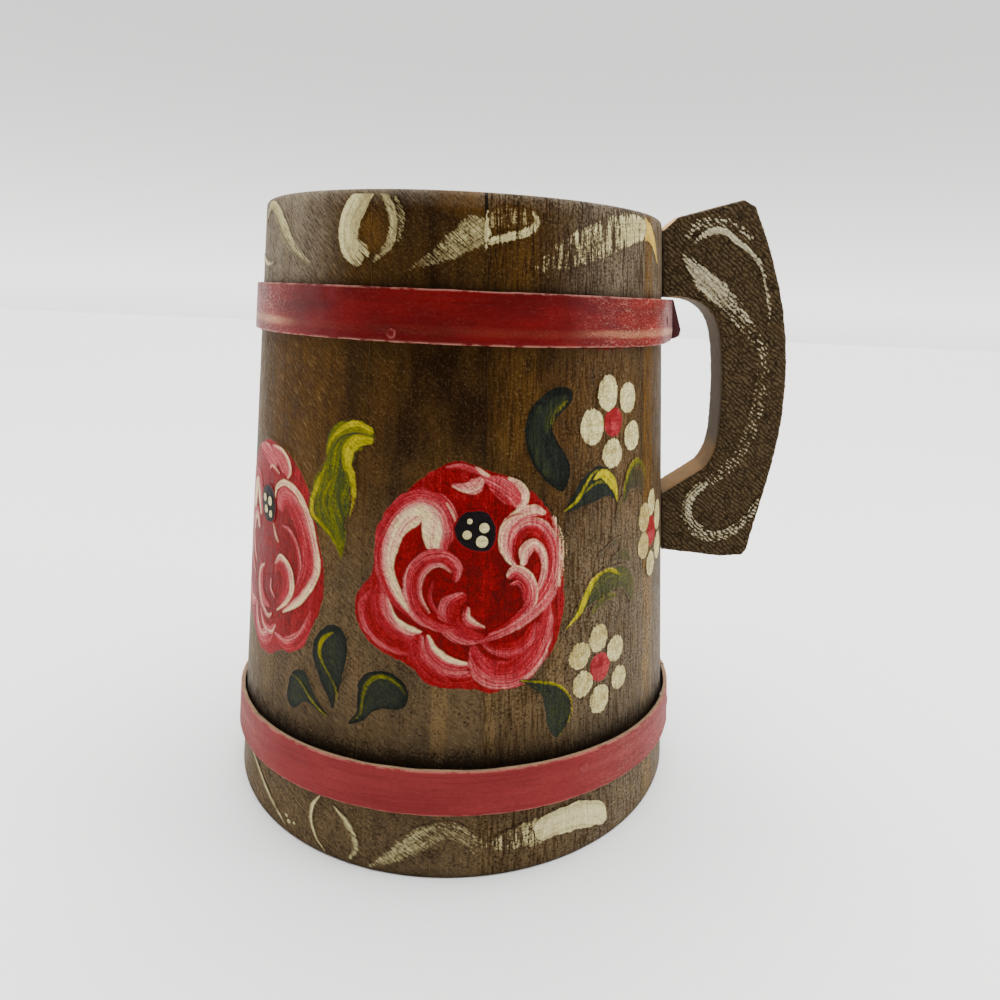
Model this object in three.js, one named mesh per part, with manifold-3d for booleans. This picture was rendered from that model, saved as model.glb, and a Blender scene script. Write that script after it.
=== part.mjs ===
// A coopered wooden tankard. Twelve glued staves are turned to a straight taper, with a groove near
// the foot that holds the bottom board. Two strap hoops are bradded round the taper, and a sawn
// handle is coped to one stave and held by two dowels.
// Millimetres, +Z up. The handle points along +X.

import * as THREE from 'three';
import Module from 'manifold-3d';
import { mergeVertices } from 'three/addons/utils/BufferGeometryUtils.js';

const wasm = await Module();
wasm.setup();

// Body
const bodyHeight = 178;
const footRadius = 74.6;
const rimRadius = 59.35;
const wallAtFoot = 9;
const wallAtRim = 7;
const rimRounding = 1.5;
const footBevel = 0.8;
// Width of each stave as a share of the ring, counterclockwise from the one that carries the handle
const staveShares = [32, 30, 30, 30, 30, 30, 30, 30, 27, 27, 33, 31];
const glueLine = 0.2;
const facetAngle = 5;

// Bottom board and its groove
const grooveHeight = 11;
const grooveDepth = 3.5;
const boardThickness = 9;
const boardTongue = 5;
const boardFit = 0.3;

// Strap hoops
const strapWidth = 12.8;
const strapThickness = 1.3;
const strapEase = 0.35;
const strapFit = 0.3;
const strapSteps = 84;
const seamGap = 8;
const endCornerRadius = 3;
const upperHoopBelowRim = 22.4;
const upperHoopSlack = 0.35;
const upperEndLift = 3.6;
const lowerHoopHeight = 14;
const lowerHoopSlack = 1.3;
const lowerHoopFrontRise = 6.3;
const lowerEndLift = 0.4;
const hoopFrontAzimuth = -85;
const hoopSlackAzimuth = -45;

// Brads that pin the straps
const bradShank = 0.7;
const bradHead = 1.5;
const bradDome = 0.7;
const bradLength = 5;
const bradSides = 10;
const bradFit = 0.2;
const seamBradInset = 11;
// Where the other brads sit: azimuth in degrees, and rise above the strap's middle line
const upperFrontBrad = { azimuth: -101, rise: -4.3 };
const upperBackBrad = { azimuth: 100, rise: 0 };
const lowerFrontBrad = { azimuth: -56.5, rise: 2 };
const lowerBackBrad = { azimuth: 130, rise: 0 };

// Handle
const handleThickness = 15.6;
const handleReach = 28.4;
const gripWidth = 20.3;
const handleTopRise = 7.6;
const handleRootDrop = 2.1;
const rootChamfer = 3.8;
const handleFoot = 74;
const lowerArmDepth = 19.6;
const lowerArmSlope = 0.735;
const bellyHeight = 48;
const footCorner = { back: 6.1, rise: 0.9 };
const footEdge = { back: 7.6, rise: -1 };
const footHollow = { back: 14.7, rise: -1.8 };
const peakSetback = 19.8;
const peakCut = { back: 3.7, drop: 2 };
const sillStart = 3.4;
const openingCorner = { back: 2.8, drop: 11.3 };
const openingRound = 13.9;
const edgeEase = 0.7;
const copeFit = 0.3;
const copeSteps = 180;
const armOverHoop = 0.6;

// Dowels that hold the handle
const dowelSides = 20;
const dowelRadius = 4;
const dowelFit = 0.2;
const dowelInHandle = 20;
const dowelInset = 0.6;
const dowelBevel = 0.6;
const upperDowelBelowRim = 11.5;
const lowerDowelAboveFoot = 10;

const radians = THREE.MathUtils.degToRad;
const endLiftLength = seamBradInset - bradHead - bradFit;
const taper = (footRadius - rimRadius) / bodyHeight;
const taperAngle = Math.atan(taper);

function outerRadius(z) {
  return footRadius - taper * z;
}

function innerRadius(z) {
  const wall = wallAtFoot + (wallAtRim - wallAtFoot) * z / bodyHeight;
  return outerRadius(z) - wall;
}

// Geometry helpers

// Shared corners become one vertex, and triangles that close up on a turning axis are left out
function onlyPositions(geometry) {
  const plain = geometry.clone();
  plain.deleteAttribute('normal');
  plain.deleteAttribute('uv');
  const welded = mergeVertices(plain, 1e-4);
  const index = welded.index.array;
  const kept = [];
  for (let i = 0; i < index.length; i += 3) {
    const [a, b, c] = [index[i], index[i + 1], index[i + 2]];
    if (a !== b && b !== c && c !== a) {
      kept.push(a, b, c);
    }
  }
  welded.setIndex(kept);
  return welded;
}

function toSolid(geometry) {
  const closed = onlyPositions(geometry);
  return new wasm.Manifold(new wasm.Mesh({
    numProp: 3,
    vertProperties: new Float32Array(closed.attributes.position.array),
    triVerts: new Uint32Array(closed.index.array),
  }));
}

function toGeometry(solid) {
  const mesh = solid.getMesh();
  const geometry = new THREE.BufferGeometry();
  geometry.setAttribute('position', new THREE.BufferAttribute(mesh.vertProperties, 3));
  geometry.setIndex(new THREE.BufferAttribute(mesh.triVerts, 1));
  return geometry;
}

function cutBy(geometry, tools) {
  let solid = toSolid(geometry);
  for (const tool of tools) {
    solid = solid.subtract(toSolid(tool));
  }
  return toGeometry(solid);
}

// A profile of radius and height turned all the way round the vertical axis
function turned(profile, steps) {
  return new THREE.LatheGeometry(profile, steps).rotateX(Math.PI / 2);
}

// A closed skin through a row of like loops, with the given triangles over its two ends
function lofted(loops, endFaces) {
  const count = loops[0].length;
  const positions = loops.flat().flatMap((point) => [point.x, point.y, point.z]);
  const index = [];
  for (let row = 0; row + 1 < loops.length; row++) {
    for (let k = 0; k < count; k++) {
      const a = row * count + k;
      const b = row * count + (k + 1) % count;
      index.push(a, b + count, b, a, a + count, b + count);
    }
  }
  const last = (loops.length - 1) * count;
  for (const [a, b, c] of endFaces) {
    index.push(a, b, c);
    index.push(last + a, last + c, last + b);
  }
  const geometry = new THREE.BufferGeometry();
  geometry.setAttribute('position', new THREE.Float32BufferAttribute(positions, 3));
  geometry.setIndex(index);
  return geometry;
}

// A point given as radius and height, swung round the vertical axis to an azimuth
function swung(radius, height, azimuth) {
  const angle = radians(azimuth);
  return new THREE.Vector3(radius * Math.cos(angle), radius * Math.sin(angle), height);
}

// A counterclockwise profile of radius and height turned from one azimuth to another
function turnedSector(profile, start, end) {
  const steps = Math.max(2, Math.round((end - start) / facetAngle));
  const loops = [];
  for (let i = 0; i <= steps; i++) {
    const azimuth = start + (end - start) * i / steps;
    loops.push(profile.map((point) => swung(point.x, point.y, azimuth)));
  }
  return lofted(loops, THREE.ShapeUtils.triangulateShape(profile, []));
}

function piece(name, geometry, color, roughness, metalness = 0) {
  const finish = new THREE.MeshStandardMaterial({ color, roughness, metalness });
  const shape = onlyPositions(geometry);
  shape.computeVertexNormals();
  const mesh = new THREE.Mesh(shape, finish);
  mesh.name = name;
  return mesh;
}

// Brads: a domed head on a pointed shank, driven square to the tapered wall

function bradProfile() {
  const point = bradShank * 2;
  return [
    new THREE.Vector2(0, -bradLength),
    new THREE.Vector2(bradShank, point - bradLength),
    new THREE.Vector2(bradShank, 0),
    new THREE.Vector2(bradHead, 0),
    new THREE.Vector2(bradHead * 0.72, bradDome * 0.7),
    new THREE.Vector2(0, bradDome),
  ];
}

function driven(geometry, azimuth, radius, height) {
  return geometry
    .rotateY(Math.PI / 2 - taperAngle)
    .translate(radius, 0, height)
    .rotateZ(radians(azimuth));
}

function bradFor(hoop, azimuth, rise) {
  const height = hoop.heightAt(azimuth) + rise;
  const radius = hoop.outsideAt(azimuth, height) + bradFit;
  const shape = driven(turned(bradProfile(), bradSides), azimuth, radius, height);
  const bore = bradShank + bradFit;
  const drill = new THREE.CylinderGeometry(bore, bore, 2 * (bradLength + bradFit), bradSides);
  drill.rotateX(Math.PI / 2);
  return { azimuth, shape, hole: driven(drill, azimuth, radius, height) };
}

// Strap hoops: an open band that follows the taper, with its ends butted below the handle

function strapHoop({ height, slack, tilt, endLift }) {
  const middle = height + strapWidth / 2;
  const seamAngle = THREE.MathUtils.radToDeg(seamGap / 2 / outerRadius(middle));

  function heightAt(azimuth) {
    return middle + tilt * Math.cos(radians(azimuth - hoopFrontAzimuth));
  }

  function endDistance(azimuth) {
    const turn = ((azimuth % 360) + 360) % 360;
    const fromEnd = Math.min(turn, 360 - turn) - seamAngle;
    return Math.max(0, radians(fromEnd) * outerRadius(middle));
  }

  function liftAt(azimuth) {
    const near = Math.max(0, 1 - endDistance(azimuth) / endLiftLength);
    const rear = ((azimuth % 360) + 360) % 360 < 180;
    return (rear ? endLift : endLift / 4) * near * near;
  }

  function insideAt(azimuth, z) {
    const loose = slack * (1 + Math.cos(radians(azimuth - hoopSlackAzimuth))) / 2;
    return outerRadius(z) + strapFit + loose + liftAt(azimuth);
  }

  function outsideAt(azimuth, z) {
    return insideAt(azimuth, z) + strapThickness;
  }

  // Half the band's width below its middle line, rounded off at the two ends
  function lowerHalf(azimuth) {
    const inset = Math.max(0, endCornerRadius - endDistance(azimuth));
    return strapWidth / 2 - endCornerRadius + Math.sqrt(endCornerRadius ** 2 - inset ** 2);
  }

  function section(azimuth) {
    const up = strapWidth / 2;
    const down = -lowerHalf(azimuth);
    const corners = [
      [0, down],
      [strapThickness - strapEase, down],
      [strapThickness, down + strapEase],
      [strapThickness, up - strapEase],
      [strapThickness - strapEase, up],
      [0, up],
    ];
    return corners.map(([out, along]) => {
      const z = heightAt(azimuth) + along;
      return swung(insideAt(azimuth, z) + out, z, azimuth);
    });
  }

  function stations() {
    const cornerAngle = THREE.MathUtils.radToDeg(endCornerRadius / outerRadius(middle));
    const start = seamAngle;
    const end = 360 - seamAngle;
    const azimuths = [start];
    for (const share of [0.1, 0.3, 0.6]) {
      azimuths.push(start + cornerAngle * share);
    }
    const inner = end - start - 2 * cornerAngle;
    for (let i = 0; i <= strapSteps; i++) {
      azimuths.push(start + cornerAngle + inner * i / strapSteps);
    }
    for (const share of [0.6, 0.3, 0.1]) {
      azimuths.push(end - cornerAngle * share);
    }
    azimuths.push(end);
    return azimuths;
  }

  const loops = stations().map(section);
  const endFaces = loops[0].slice(2).map((_, k) => [0, k + 1, k + 2]);
  return { heightAt, outsideAt, seamAngle, shape: lofted(loops, endFaces) };
}

// Staves: one turned profile, parted along radial joints

function staveProfile() {
  const profile = new THREE.Path();
  const top = bodyHeight;
  const outerTop = outerRadius(top);
  const innerTop = innerRadius(top);
  const grooveTop = grooveHeight + boardTongue + 2 * boardFit;
  profile.moveTo(outerRadius(0) - footBevel, 0);
  profile.lineTo(outerRadius(footBevel), footBevel);
  profile.lineTo(outerRadius(top - rimRounding), top - rimRounding);
  profile.quadraticCurveTo(outerTop, top, outerTop - rimRounding, top);
  profile.lineTo(innerTop + rimRounding, top);
  profile.quadraticCurveTo(innerTop, top, innerRadius(top - rimRounding), top - rimRounding);
  profile.lineTo(innerRadius(grooveTop), grooveTop);
  profile.lineTo(innerRadius(grooveTop) + grooveDepth, grooveTop);
  profile.lineTo(innerRadius(grooveTop) + grooveDepth, grooveHeight);
  profile.lineTo(innerRadius(grooveHeight), grooveHeight);
  profile.lineTo(innerRadius(footBevel), footBevel);
  profile.lineTo(innerRadius(0) + footBevel, 0);
  return profile.getPoints(3);
}

function staveEdges() {
  const whole = staveShares.reduce((sum, share) => sum + share, 0);
  let edge = -180 * staveShares[0] / whole;
  return staveShares.map((share) => {
    const start = edge;
    edge += 360 * share / whole;
    return [start, edge];
  });
}

function containsAzimuth([start, end], azimuth) {
  const turn = (((azimuth - start) % 360) + 360) % 360;
  return turn < end - start;
}

function bottomBoard() {
  const under = grooveHeight + boardFit;
  const shoulder = under + boardTongue;
  const grooveTop = shoulder + boardFit;
  const top = under + boardThickness;
  const profile = [
    new THREE.Vector2(0, under),
    new THREE.Vector2(innerRadius(grooveTop) + grooveDepth - boardFit, under),
    new THREE.Vector2(innerRadius(grooveTop) + grooveDepth - boardFit, shoulder),
    new THREE.Vector2(innerRadius(shoulder) - 2 * boardFit, shoulder),
    new THREE.Vector2(innerRadius(top) - 2 * boardFit, top),
    new THREE.Vector2(0, top),
  ];
  return turned(profile, 360 / facetAngle);
}

// Handle: a sawn slab. Its outline is seen from the side, as distance from the axis and height

function handleOutline() {
  const outline = new THREE.Shape();
  const reach = footRadius + handleReach;
  const belly = handleFoot + bellyHeight;
  const peak = bodyHeight + handleTopRise;
  const rootTop = bodyHeight - handleRootDrop;
  const cutEnd = { x: reach - peakSetback + peakCut.back, y: peak - peakCut.drop };

  // Back of the handle, from the foot up to the peak
  const footCornerHeight = handleFoot + footCorner.rise;
  const lowerBack = belly - footCornerHeight;
  const upperBack = cutEnd.y - belly;
  outline.moveTo(outerRadius(handleFoot) - grooveDepth, handleFoot);
  outline.lineTo(reach - footHollow.back, handleFoot + footHollow.rise);
  outline.lineTo(reach - footEdge.back, handleFoot + footEdge.rise);
  outline.lineTo(reach - footCorner.back, footCornerHeight);
  outline.bezierCurveTo(
    reach - footCorner.back * 0.74, footCornerHeight + lowerBack * 0.28,
    reach, belly - lowerBack * 0.34,
    reach, belly,
  );
  outline.bezierCurveTo(
    reach, belly + upperBack * 0.37,
    cutEnd.x + (reach - cutEnd.x) * 0.7, cutEnd.y - upperBack * 0.35,
    cutEnd.x, cutEnd.y,
  );

  // Peak, top and the bevel where the top meets the wall
  outline.lineTo(reach - peakSetback, peak);
  outline.lineTo(outerRadius(rootTop) + rootChamfer, rootTop + rootChamfer);
  outline.lineTo(outerRadius(rootTop), rootTop);
  outline.lineTo(outerRadius(rootTop) - grooveDepth, rootTop);

  // Finger opening, from under the upper arm round to the slanting sill of the lower arm
  const openingTop = bodyHeight - upperHoopBelowRim + armOverHoop;
  const grip = reach - gripWidth;
  const gripStraight = belly - lowerBack * 0.13;
  const corner = { x: grip - openingCorner.back, y: openingTop - openingCorner.drop };
  const sillEnd = handleFoot + lowerArmDepth;
  const sillWall = outerRadius(sillEnd);
  const sill = { x: grip - sillStart, y: sillEnd + lowerArmSlope * (grip - sillStart - sillWall) };
  const sillRise = gripStraight - sill.y;
  outline.lineTo(outerRadius(openingTop) - grooveDepth, openingTop);
  outline.lineTo(corner.x - openingRound, openingTop);
  outline.bezierCurveTo(
    corner.x - openingRound * 0.38, openingTop,
    corner.x - openingRound * 0.12, openingTop - openingCorner.drop * 0.43,
    corner.x, corner.y,
  );
  outline.bezierCurveTo(
    corner.x + openingCorner.back * 0.5, corner.y - openingCorner.drop * 0.49,
    grip, gripStraight + openingCorner.drop,
    grip, gripStraight,
  );
  outline.bezierCurveTo(
    grip, gripStraight - sillRise * 0.46,
    sill.x + sillStart * 0.68, sill.y + sillRise * 0.24,
    sill.x, sill.y,
  );
  outline.lineTo(sillWall - grooveDepth, sillEnd - lowerArmSlope * grooveDepth);
  return outline;
}

// The taper of the body carried on past the rim, a little larger than the staves
function bodyCone(extra) {
  const top = bodyHeight + 2 * handleTopRise;
  return turned([
    new THREE.Vector2(0, 0),
    new THREE.Vector2(outerRadius(0) + extra, 0),
    new THREE.Vector2(outerRadius(top) + extra, top),
    new THREE.Vector2(0, top),
  ], copeSteps);
}

function handleSlab() {
  const slab = new THREE.ExtrudeGeometry(handleOutline(), {
    depth: handleThickness - 2 * edgeEase,
    curveSegments: 8,
    bevelThickness: edgeEase,
    bevelSize: edgeEase,
    bevelOffset: -edgeEase,
    bevelSegments: 2,
  });
  return slab.rotateX(Math.PI / 2).translate(0, handleThickness / 2 - edgeEase, 0);
}

function dowelAt(height) {
  const start = innerRadius(height) + dowelInset;
  const end = outerRadius(height) + dowelInHandle;
  const length = end - start;
  const profile = [
    new THREE.Vector2(0, 0),
    new THREE.Vector2(dowelRadius - dowelBevel, 0),
    new THREE.Vector2(dowelRadius, dowelBevel),
    new THREE.Vector2(dowelRadius, length - dowelBevel),
    new THREE.Vector2(dowelRadius - dowelBevel, length),
    new THREE.Vector2(0, length),
  ];
  const bore = dowelRadius + dowelFit;
  const boreStart = innerRadius(height) - wallAtFoot;
  const boreEnd = end + dowelFit;
  const drill = new THREE.CylinderGeometry(bore, bore, boreEnd - boreStart, dowelSides);
  drill.rotateZ(Math.PI / 2).rotateX(Math.PI / 2).translate((boreStart + boreEnd) / 2, 0, height);
  return {
    shape: turned(profile, dowelSides).rotateY(Math.PI / 2).translate(start, 0, height),
    hole: drill,
  };
}

// Assembly

const upperHoop = strapHoop({
  height: bodyHeight - upperHoopBelowRim - strapWidth,
  slack: upperHoopSlack,
  tilt: 0,
  endLift: upperEndLift,
});
const lowerHoop = strapHoop({
  height: lowerHoopHeight,
  slack: lowerHoopSlack,
  tilt: lowerHoopFrontRise,
  endLift: lowerEndLift,
});

function hoopBrads(hoop, front, back) {
  const inset = hoop.seamAngle * (1 + 2 * seamBradInset / seamGap);
  const places = [{ azimuth: inset, rise: 0 }, back, front, { azimuth: -inset, rise: 0 }];
  return places.map(({ azimuth, rise }) => bradFor(hoop, azimuth, rise));
}

const upperBrads = hoopBrads(upperHoop, upperFrontBrad, upperBackBrad);
const lowerBrads = hoopBrads(lowerHoop, lowerFrontBrad, lowerBackBrad);
const dowels = {
  handle_dowel_upper: dowelAt(bodyHeight - upperDowelBelowRim),
  handle_dowel_lower: dowelAt(handleFoot + lowerDowelAboveFoot),
};
const dowelHoles = Object.values(dowels).map((dowel) => dowel.hole);

const stainedWood = '#4a3826';
const handleWood = '#3a2e22';
const bareWood = '#a88452';
const upperPaint = '#8e1014';
const lowerPaint = '#9a3a3e';
const bradPaint = '#7a1216';

const tankard = new THREE.Group();
const profile = staveProfile();
const gluePart = THREE.MathUtils.radToDeg(glueLine / 2 / outerRadius(bodyHeight / 2));
staveEdges().forEach(([start, end], i) => {
  const holes = [...upperBrads, ...lowerBrads]
    .filter((brad) => containsAzimuth([start, end], brad.azimuth))
    .map((brad) => brad.hole);
  const cuts = i === 0 ? [...holes, ...dowelHoles] : holes;
  const blank = turnedSector(profile, start + gluePart, end - gluePart);
  const name = `stave_${String(i + 1).padStart(2, '0')}`;
  tankard.add(piece(name, cutBy(blank, cuts), stainedWood, 0.5));
});
tankard.add(piece('bottom_board', bottomBoard(), bareWood, 0.7));

const hoops = [
  ['upper_hoop', upperHoop, upperBrads, upperPaint, 0.3],
  ['lower_hoop', lowerHoop, lowerBrads, lowerPaint, 0.45],
];
for (const [name, hoop, brads, paint, roughness] of hoops) {
  const strap = cutBy(hoop.shape, brads.map((brad) => brad.hole));
  tankard.add(piece(name, strap, paint, roughness));
  brads.forEach((brad, i) => {
    tankard.add(piece(`${name}_brad_${i + 1}`, brad.shape, bradPaint, 0.35, 0.2));
  });
}

const slab = cutBy(handleSlab(), [bodyCone(copeFit), ...dowelHoles]);
tankard.add(piece('handle', slab, handleWood, 0.7));
for (const [name, dowel] of Object.entries(dowels)) {
  tankard.add(piece(name, dowel.shape, bareWood, 0.7));
}

// The origin is the middle of the footprint, on the surface that the tankard stands on
const footprint = new THREE.Box3().setFromObject(tankard);
const middle = footprint.getCenter(new THREE.Vector3());
tankard.position.set(-middle.x, -middle.y, 0);

export default tankard;
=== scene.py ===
import math
import bpy
import numpy as np
from mathutils import Matrix, Vector


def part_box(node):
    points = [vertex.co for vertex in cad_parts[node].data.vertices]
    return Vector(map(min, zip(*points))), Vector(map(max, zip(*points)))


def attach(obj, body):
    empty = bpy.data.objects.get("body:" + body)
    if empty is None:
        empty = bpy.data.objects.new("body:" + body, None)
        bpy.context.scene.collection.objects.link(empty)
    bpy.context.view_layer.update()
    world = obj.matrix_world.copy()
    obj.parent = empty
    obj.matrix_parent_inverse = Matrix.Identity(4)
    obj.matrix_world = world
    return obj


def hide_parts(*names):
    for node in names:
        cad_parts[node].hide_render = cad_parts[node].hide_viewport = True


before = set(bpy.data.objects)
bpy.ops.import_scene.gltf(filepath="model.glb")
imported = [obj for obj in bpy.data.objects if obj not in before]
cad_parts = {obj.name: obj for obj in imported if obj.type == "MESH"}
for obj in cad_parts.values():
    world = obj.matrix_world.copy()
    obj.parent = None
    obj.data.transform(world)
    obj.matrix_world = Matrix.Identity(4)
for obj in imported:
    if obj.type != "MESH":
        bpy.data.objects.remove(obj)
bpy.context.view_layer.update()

mm = 0.001
boardLow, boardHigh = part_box("bottom_board")
axis = {"x": (boardLow.x + boardHigh.x) / 2, "y": (boardLow.y + boardHigh.y) / 2}

# The body is drawn flat first: x runs round it, measured in mm on a circle of drawingRadius, y is the
# height and z the lift off the wood. A Geometry Nodes tree then lays the drawing round the taper.
taper = {
    "height": 178.0,
    "footRadius": 74.6,
    "rimRadius": 59.35,
    "wallAtFoot": 9.0,
    "wallAtRim": 7.0,
    "drawingRadius": 67.0,
}


def outerRadius(z):
    return taper["footRadius"] - (taper["footRadius"] - taper["rimRadius"]) * z / taper["height"]


def wallAt(z):
    return taper["wallAtFoot"] + (taper["wallAtRim"] - taper["wallAtFoot"]) * z / taper["height"]


def drawn(azimuth):  # degrees round the body to mm on the flat drawing
    return math.radians(azimuth) * taper["drawingRadius"]


# Small helpers for node trees, shared by materials and Geometry Nodes

def feed(tree, node, into):
    for key, value in into.items():
        if isinstance(value, bpy.types.NodeSocket):
            tree.links.new(value, node.inputs[key])
        else:
            node.inputs[key].default_value = value


def put(tree, kind, into=None, **settings):
    made = tree.nodes.new(kind)
    for key, value in settings.items():
        setattr(made, key, value)
    feed(tree, made, into or {})
    return made


def calc(tree, operation, first, second=0.0, third=0.0):
    return put(tree, "ShaderNodeMath", {0: first, 1: second, 2: third}, operation=operation).outputs[0]


def times(tree, first, second):
    return calc(tree, "MULTIPLY", first, second)


def timesPlus(tree, first, second, third):
    return calc(tree, "MULTIPLY_ADD", first, second, third)


def spread(tree, value, low, high, toLow=0.0, toHigh=1.0):
    into = {"Value": value, "From Min": low, "From Max": high, "To Min": toLow, "To Max": toHigh}
    return put(tree, "ShaderNodeMapRange", into).outputs[0]


def swing(tree, value):  # the middle range of a noise, as -1 to 1
    return spread(tree, value, 0.3, 0.7, -1, 1)


def noiseAt(tree, vector, scale, detail=3.0, roughness=0.55, distortion=0.0):
    into = {"Vector": vector, "Scale": scale, "Detail": detail, "Roughness": roughness,
            "Distortion": distortion}
    return put(tree, "ShaderNodeTexNoise", into).outputs["Fac"]


def turned(tree, vector, scale=(1, 1, 1), turn=0.0, shift=(0, 0, 0)):
    spun = put(tree, "ShaderNodeMapping",
               {"Vector": vector, "Rotation": (0, 0, math.radians(turn)), "Location": shift})
    return put(tree, "ShaderNodeMapping", {"Vector": spun.outputs[0], "Scale": scale}).outputs[0]


def longNoise(tree, vector, stretch, scale, detail=3.0, roughness=0.55, distortion=0.0, turn=0.0,
              shift=(0, 0, 0)):
    return noiseAt(tree, turned(tree, vector, stretch, turn, shift), scale, detail, roughness, distortion)


def opaque(color):
    return (*color, 1) if isinstance(color, tuple) else color


def blend(tree, factor, first, second, how="MIX"):
    into = {0: factor, 6: opaque(first), 7: opaque(second)}
    return put(tree, "ShaderNodeMix", into, data_type="RGBA", blend_type=how).outputs[2]


def shaded(tree, color, share):
    grey = put(tree, "ShaderNodeCombineXYZ", {0: share, 1: share, 2: share}).outputs[0]
    return blend(tree, 1.0, color, grey, "MULTIPLY")


def ramp(tree, value, stops):
    made = put(tree, "ShaderNodeValToRGB", {"Fac": value})
    elements = made.color_ramp.elements
    while len(elements) < len(stops):
        elements.new(0.5)
    for element, (place, color) in zip(elements, stops):
        element.position = place
        element.color = (*color, 1)
    return made.outputs[0]


def attribute(tree, name):
    return put(tree, "ShaderNodeAttribute", attribute_name=name).outputs["Fac"]


def onMap(tree, name="flat"):
    return put(tree, "ShaderNodeUVMap", uv_map=name).outputs[0]


def onObject(tree):
    return put(tree, "ShaderNodeTexCoord").outputs["Object"]


def bump(tree, height, depth, strength=1.0):  # depth in mm
    into = {"Height": height, "Distance": depth * mm, "Strength": strength}
    return put(tree, "ShaderNodeBump", into).outputs[0]


def startMaterial(name):
    material = bpy.data.materials.new(name)
    material.use_nodes = True
    tree = material.node_tree
    tree.nodes.clear()
    surface = put(tree, "ShaderNodeBsdfPrincipled")
    put(tree, "ShaderNodeOutputMaterial", {"Surface": surface.outputs[0]})
    return material, tree, surface


def finishMaterial(tree, surface, color, rough, shine, relief):
    feed(tree, surface, {"Base Color": color, "Roughness": rough, "Specular IOR Level": shine,
                         "Normal": relief})


def addObject(name, data):
    made = bpy.data.objects.new(name, data)
    bpy.context.scene.collection.objects.link(made)
    return made


# Camera: where the photograph was taken from, worked out from rim, foot and sides of the body

cameraSetup = {
    "fromAxis": (20.99, -235.16, 154.96),
    "yaw": -0.466,
    "down": 14.356,
    "roll": 2.438,
    "focalPixels": 711.98,
    "frameSize": 1000,
    "centreShift": (18.79, -22.49),
    "sensor": 36.0,
}


def addCamera():
    setup = cameraSetup
    yaw, down, roll = (math.radians(setup[key]) for key in ("yaw", "down", "roll"))
    ahead = Vector((math.sin(yaw), math.cos(yaw), 0))
    side = Vector((math.cos(yaw), -math.sin(yaw), 0))
    above = Vector((0, 0, 1))
    forward = ahead * math.cos(down) - above * math.sin(down)
    upward = above * math.cos(down) + ahead * math.sin(down)
    right = side * math.cos(roll) + upward * math.sin(roll)
    top = upward * math.cos(roll) - side * math.sin(roll)
    data = bpy.data.cameras.new("photoView")
    camera = addObject("photoView", data)
    place = Vector(setup["fromAxis"]) * mm + Vector((axis["x"], axis["y"], 0))
    camera.matrix_world = Matrix.Translation(place) @ Matrix((right, top, -forward)).transposed().to_4x4()
    data.sensor_width = setup["sensor"]
    data.lens = setup["sensor"] * setup["focalPixels"] / setup["frameSize"]
    data.shift_x = -setup["centreShift"][0] / setup["frameSize"]
    data.shift_y = setup["centreShift"][1] / setup["frameSize"]
    data.clip_start = 0.01
    data.dof.use_dof = False
    bpy.context.scene.camera = camera


addCamera()
print("camera set")


# Floor and light: a white tent behind and above, a dim room in front, as for the photograph

studio = {
    "floorSize": 6.0,
    "floorBelow": 0.05,
    "floorColor": (0.84, 0.84, 0.83, 1),
    "skyColor": (1.0, 1.0, 0.985),
    "backStrength": 1.30,
    "frontStrength": 0.06,
    "horizonStrength": 1.38,
    "overhead": {"strength": 7.9, "angle": 75.0, "tilt": (-14.0, 4.0)},
    "sidePanels": {
        "leftPanel": {"at": (-0.75, -0.10, 0.40), "size": (0.30, 0.60), "watts": 2.4},
        "rightPanel": {"at": (0.72, -0.12, 0.42), "size": (0.25, 0.60), "watts": 3.2},
    },
    "aimAt": (0.0, 0.0, 0.12),
}


def addFloor():
    half = studio["floorSize"] / 2
    mesh = bpy.data.meshes.new("floor")
    corners = [(-half, -half, 0), (half, -half, 0), (half, half, 0), (-half, half, 0)]
    mesh.from_pydata(corners, [], [(0, 1, 2, 3)])
    floor = addObject("floor", mesh)
    floor.location.z = -studio["floorBelow"] * mm
    material, tree, surface = startMaterial("floorPaper")
    feed(tree, surface, {"Base Color": studio["floorColor"], "Roughness": 0.7, "Specular IOR Level": 0.2})
    mesh.materials.append(material)


def addSky():
    world = bpy.data.worlds.new("lightTent")
    world.use_nodes = True
    tree = world.node_tree
    tree.nodes.clear()
    way = put(tree, "ShaderNodeSeparateXYZ", {0: put(tree, "ShaderNodeTexCoord").outputs["Generated"]})
    tent = spread(tree, way.outputs["Y"], -0.55, 0.25)
    low = spread(tree, calc(tree, "ABSOLUTE", way.outputs["Z"]), 0.30, 0.0)
    glow = times(tree, times(tree, calc(tree, "POWER", low, 2.0), tent), studio["horizonStrength"])
    base = spread(tree, tent, 0, 1, studio["frontStrength"], studio["backStrength"])
    strength = calc(tree, "ADD", base, glow)
    back = put(tree, "ShaderNodeBackground", {"Color": (*studio["skyColor"], 1), "Strength": strength})
    put(tree, "ShaderNodeOutputWorld", {"Surface": back.outputs[0]})
    bpy.context.scene.world = world


def addLights():
    setup = studio["overhead"]
    data = bpy.data.lights.new("overhead", "SUN")
    data.energy, data.angle = setup["strength"], math.radians(setup["angle"])
    light = addObject("overhead", data)
    light.location = (0, 0, 1)
    light.rotation_euler = (math.radians(setup["tilt"][0]), math.radians(setup["tilt"][1]), 0)
    for name, setup in studio["sidePanels"].items():
        data = bpy.data.lights.new(name, "AREA")
        data.shape = "RECTANGLE"
        data.size, data.size_y = setup["size"]
        data.energy = setup["watts"]
        light = addObject(name, data)
        light.location = setup["at"]
        aim = Vector(studio["aimAt"]) - Vector(setup["at"])
        light.rotation_euler = aim.to_track_quat("-Z", "Y").to_euler()


addFloor()
addSky()
addLights()
print("floor and lights set")


# Geometry Nodes: what is drawn flat is laid round the taper, as it is or as copies on points

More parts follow.
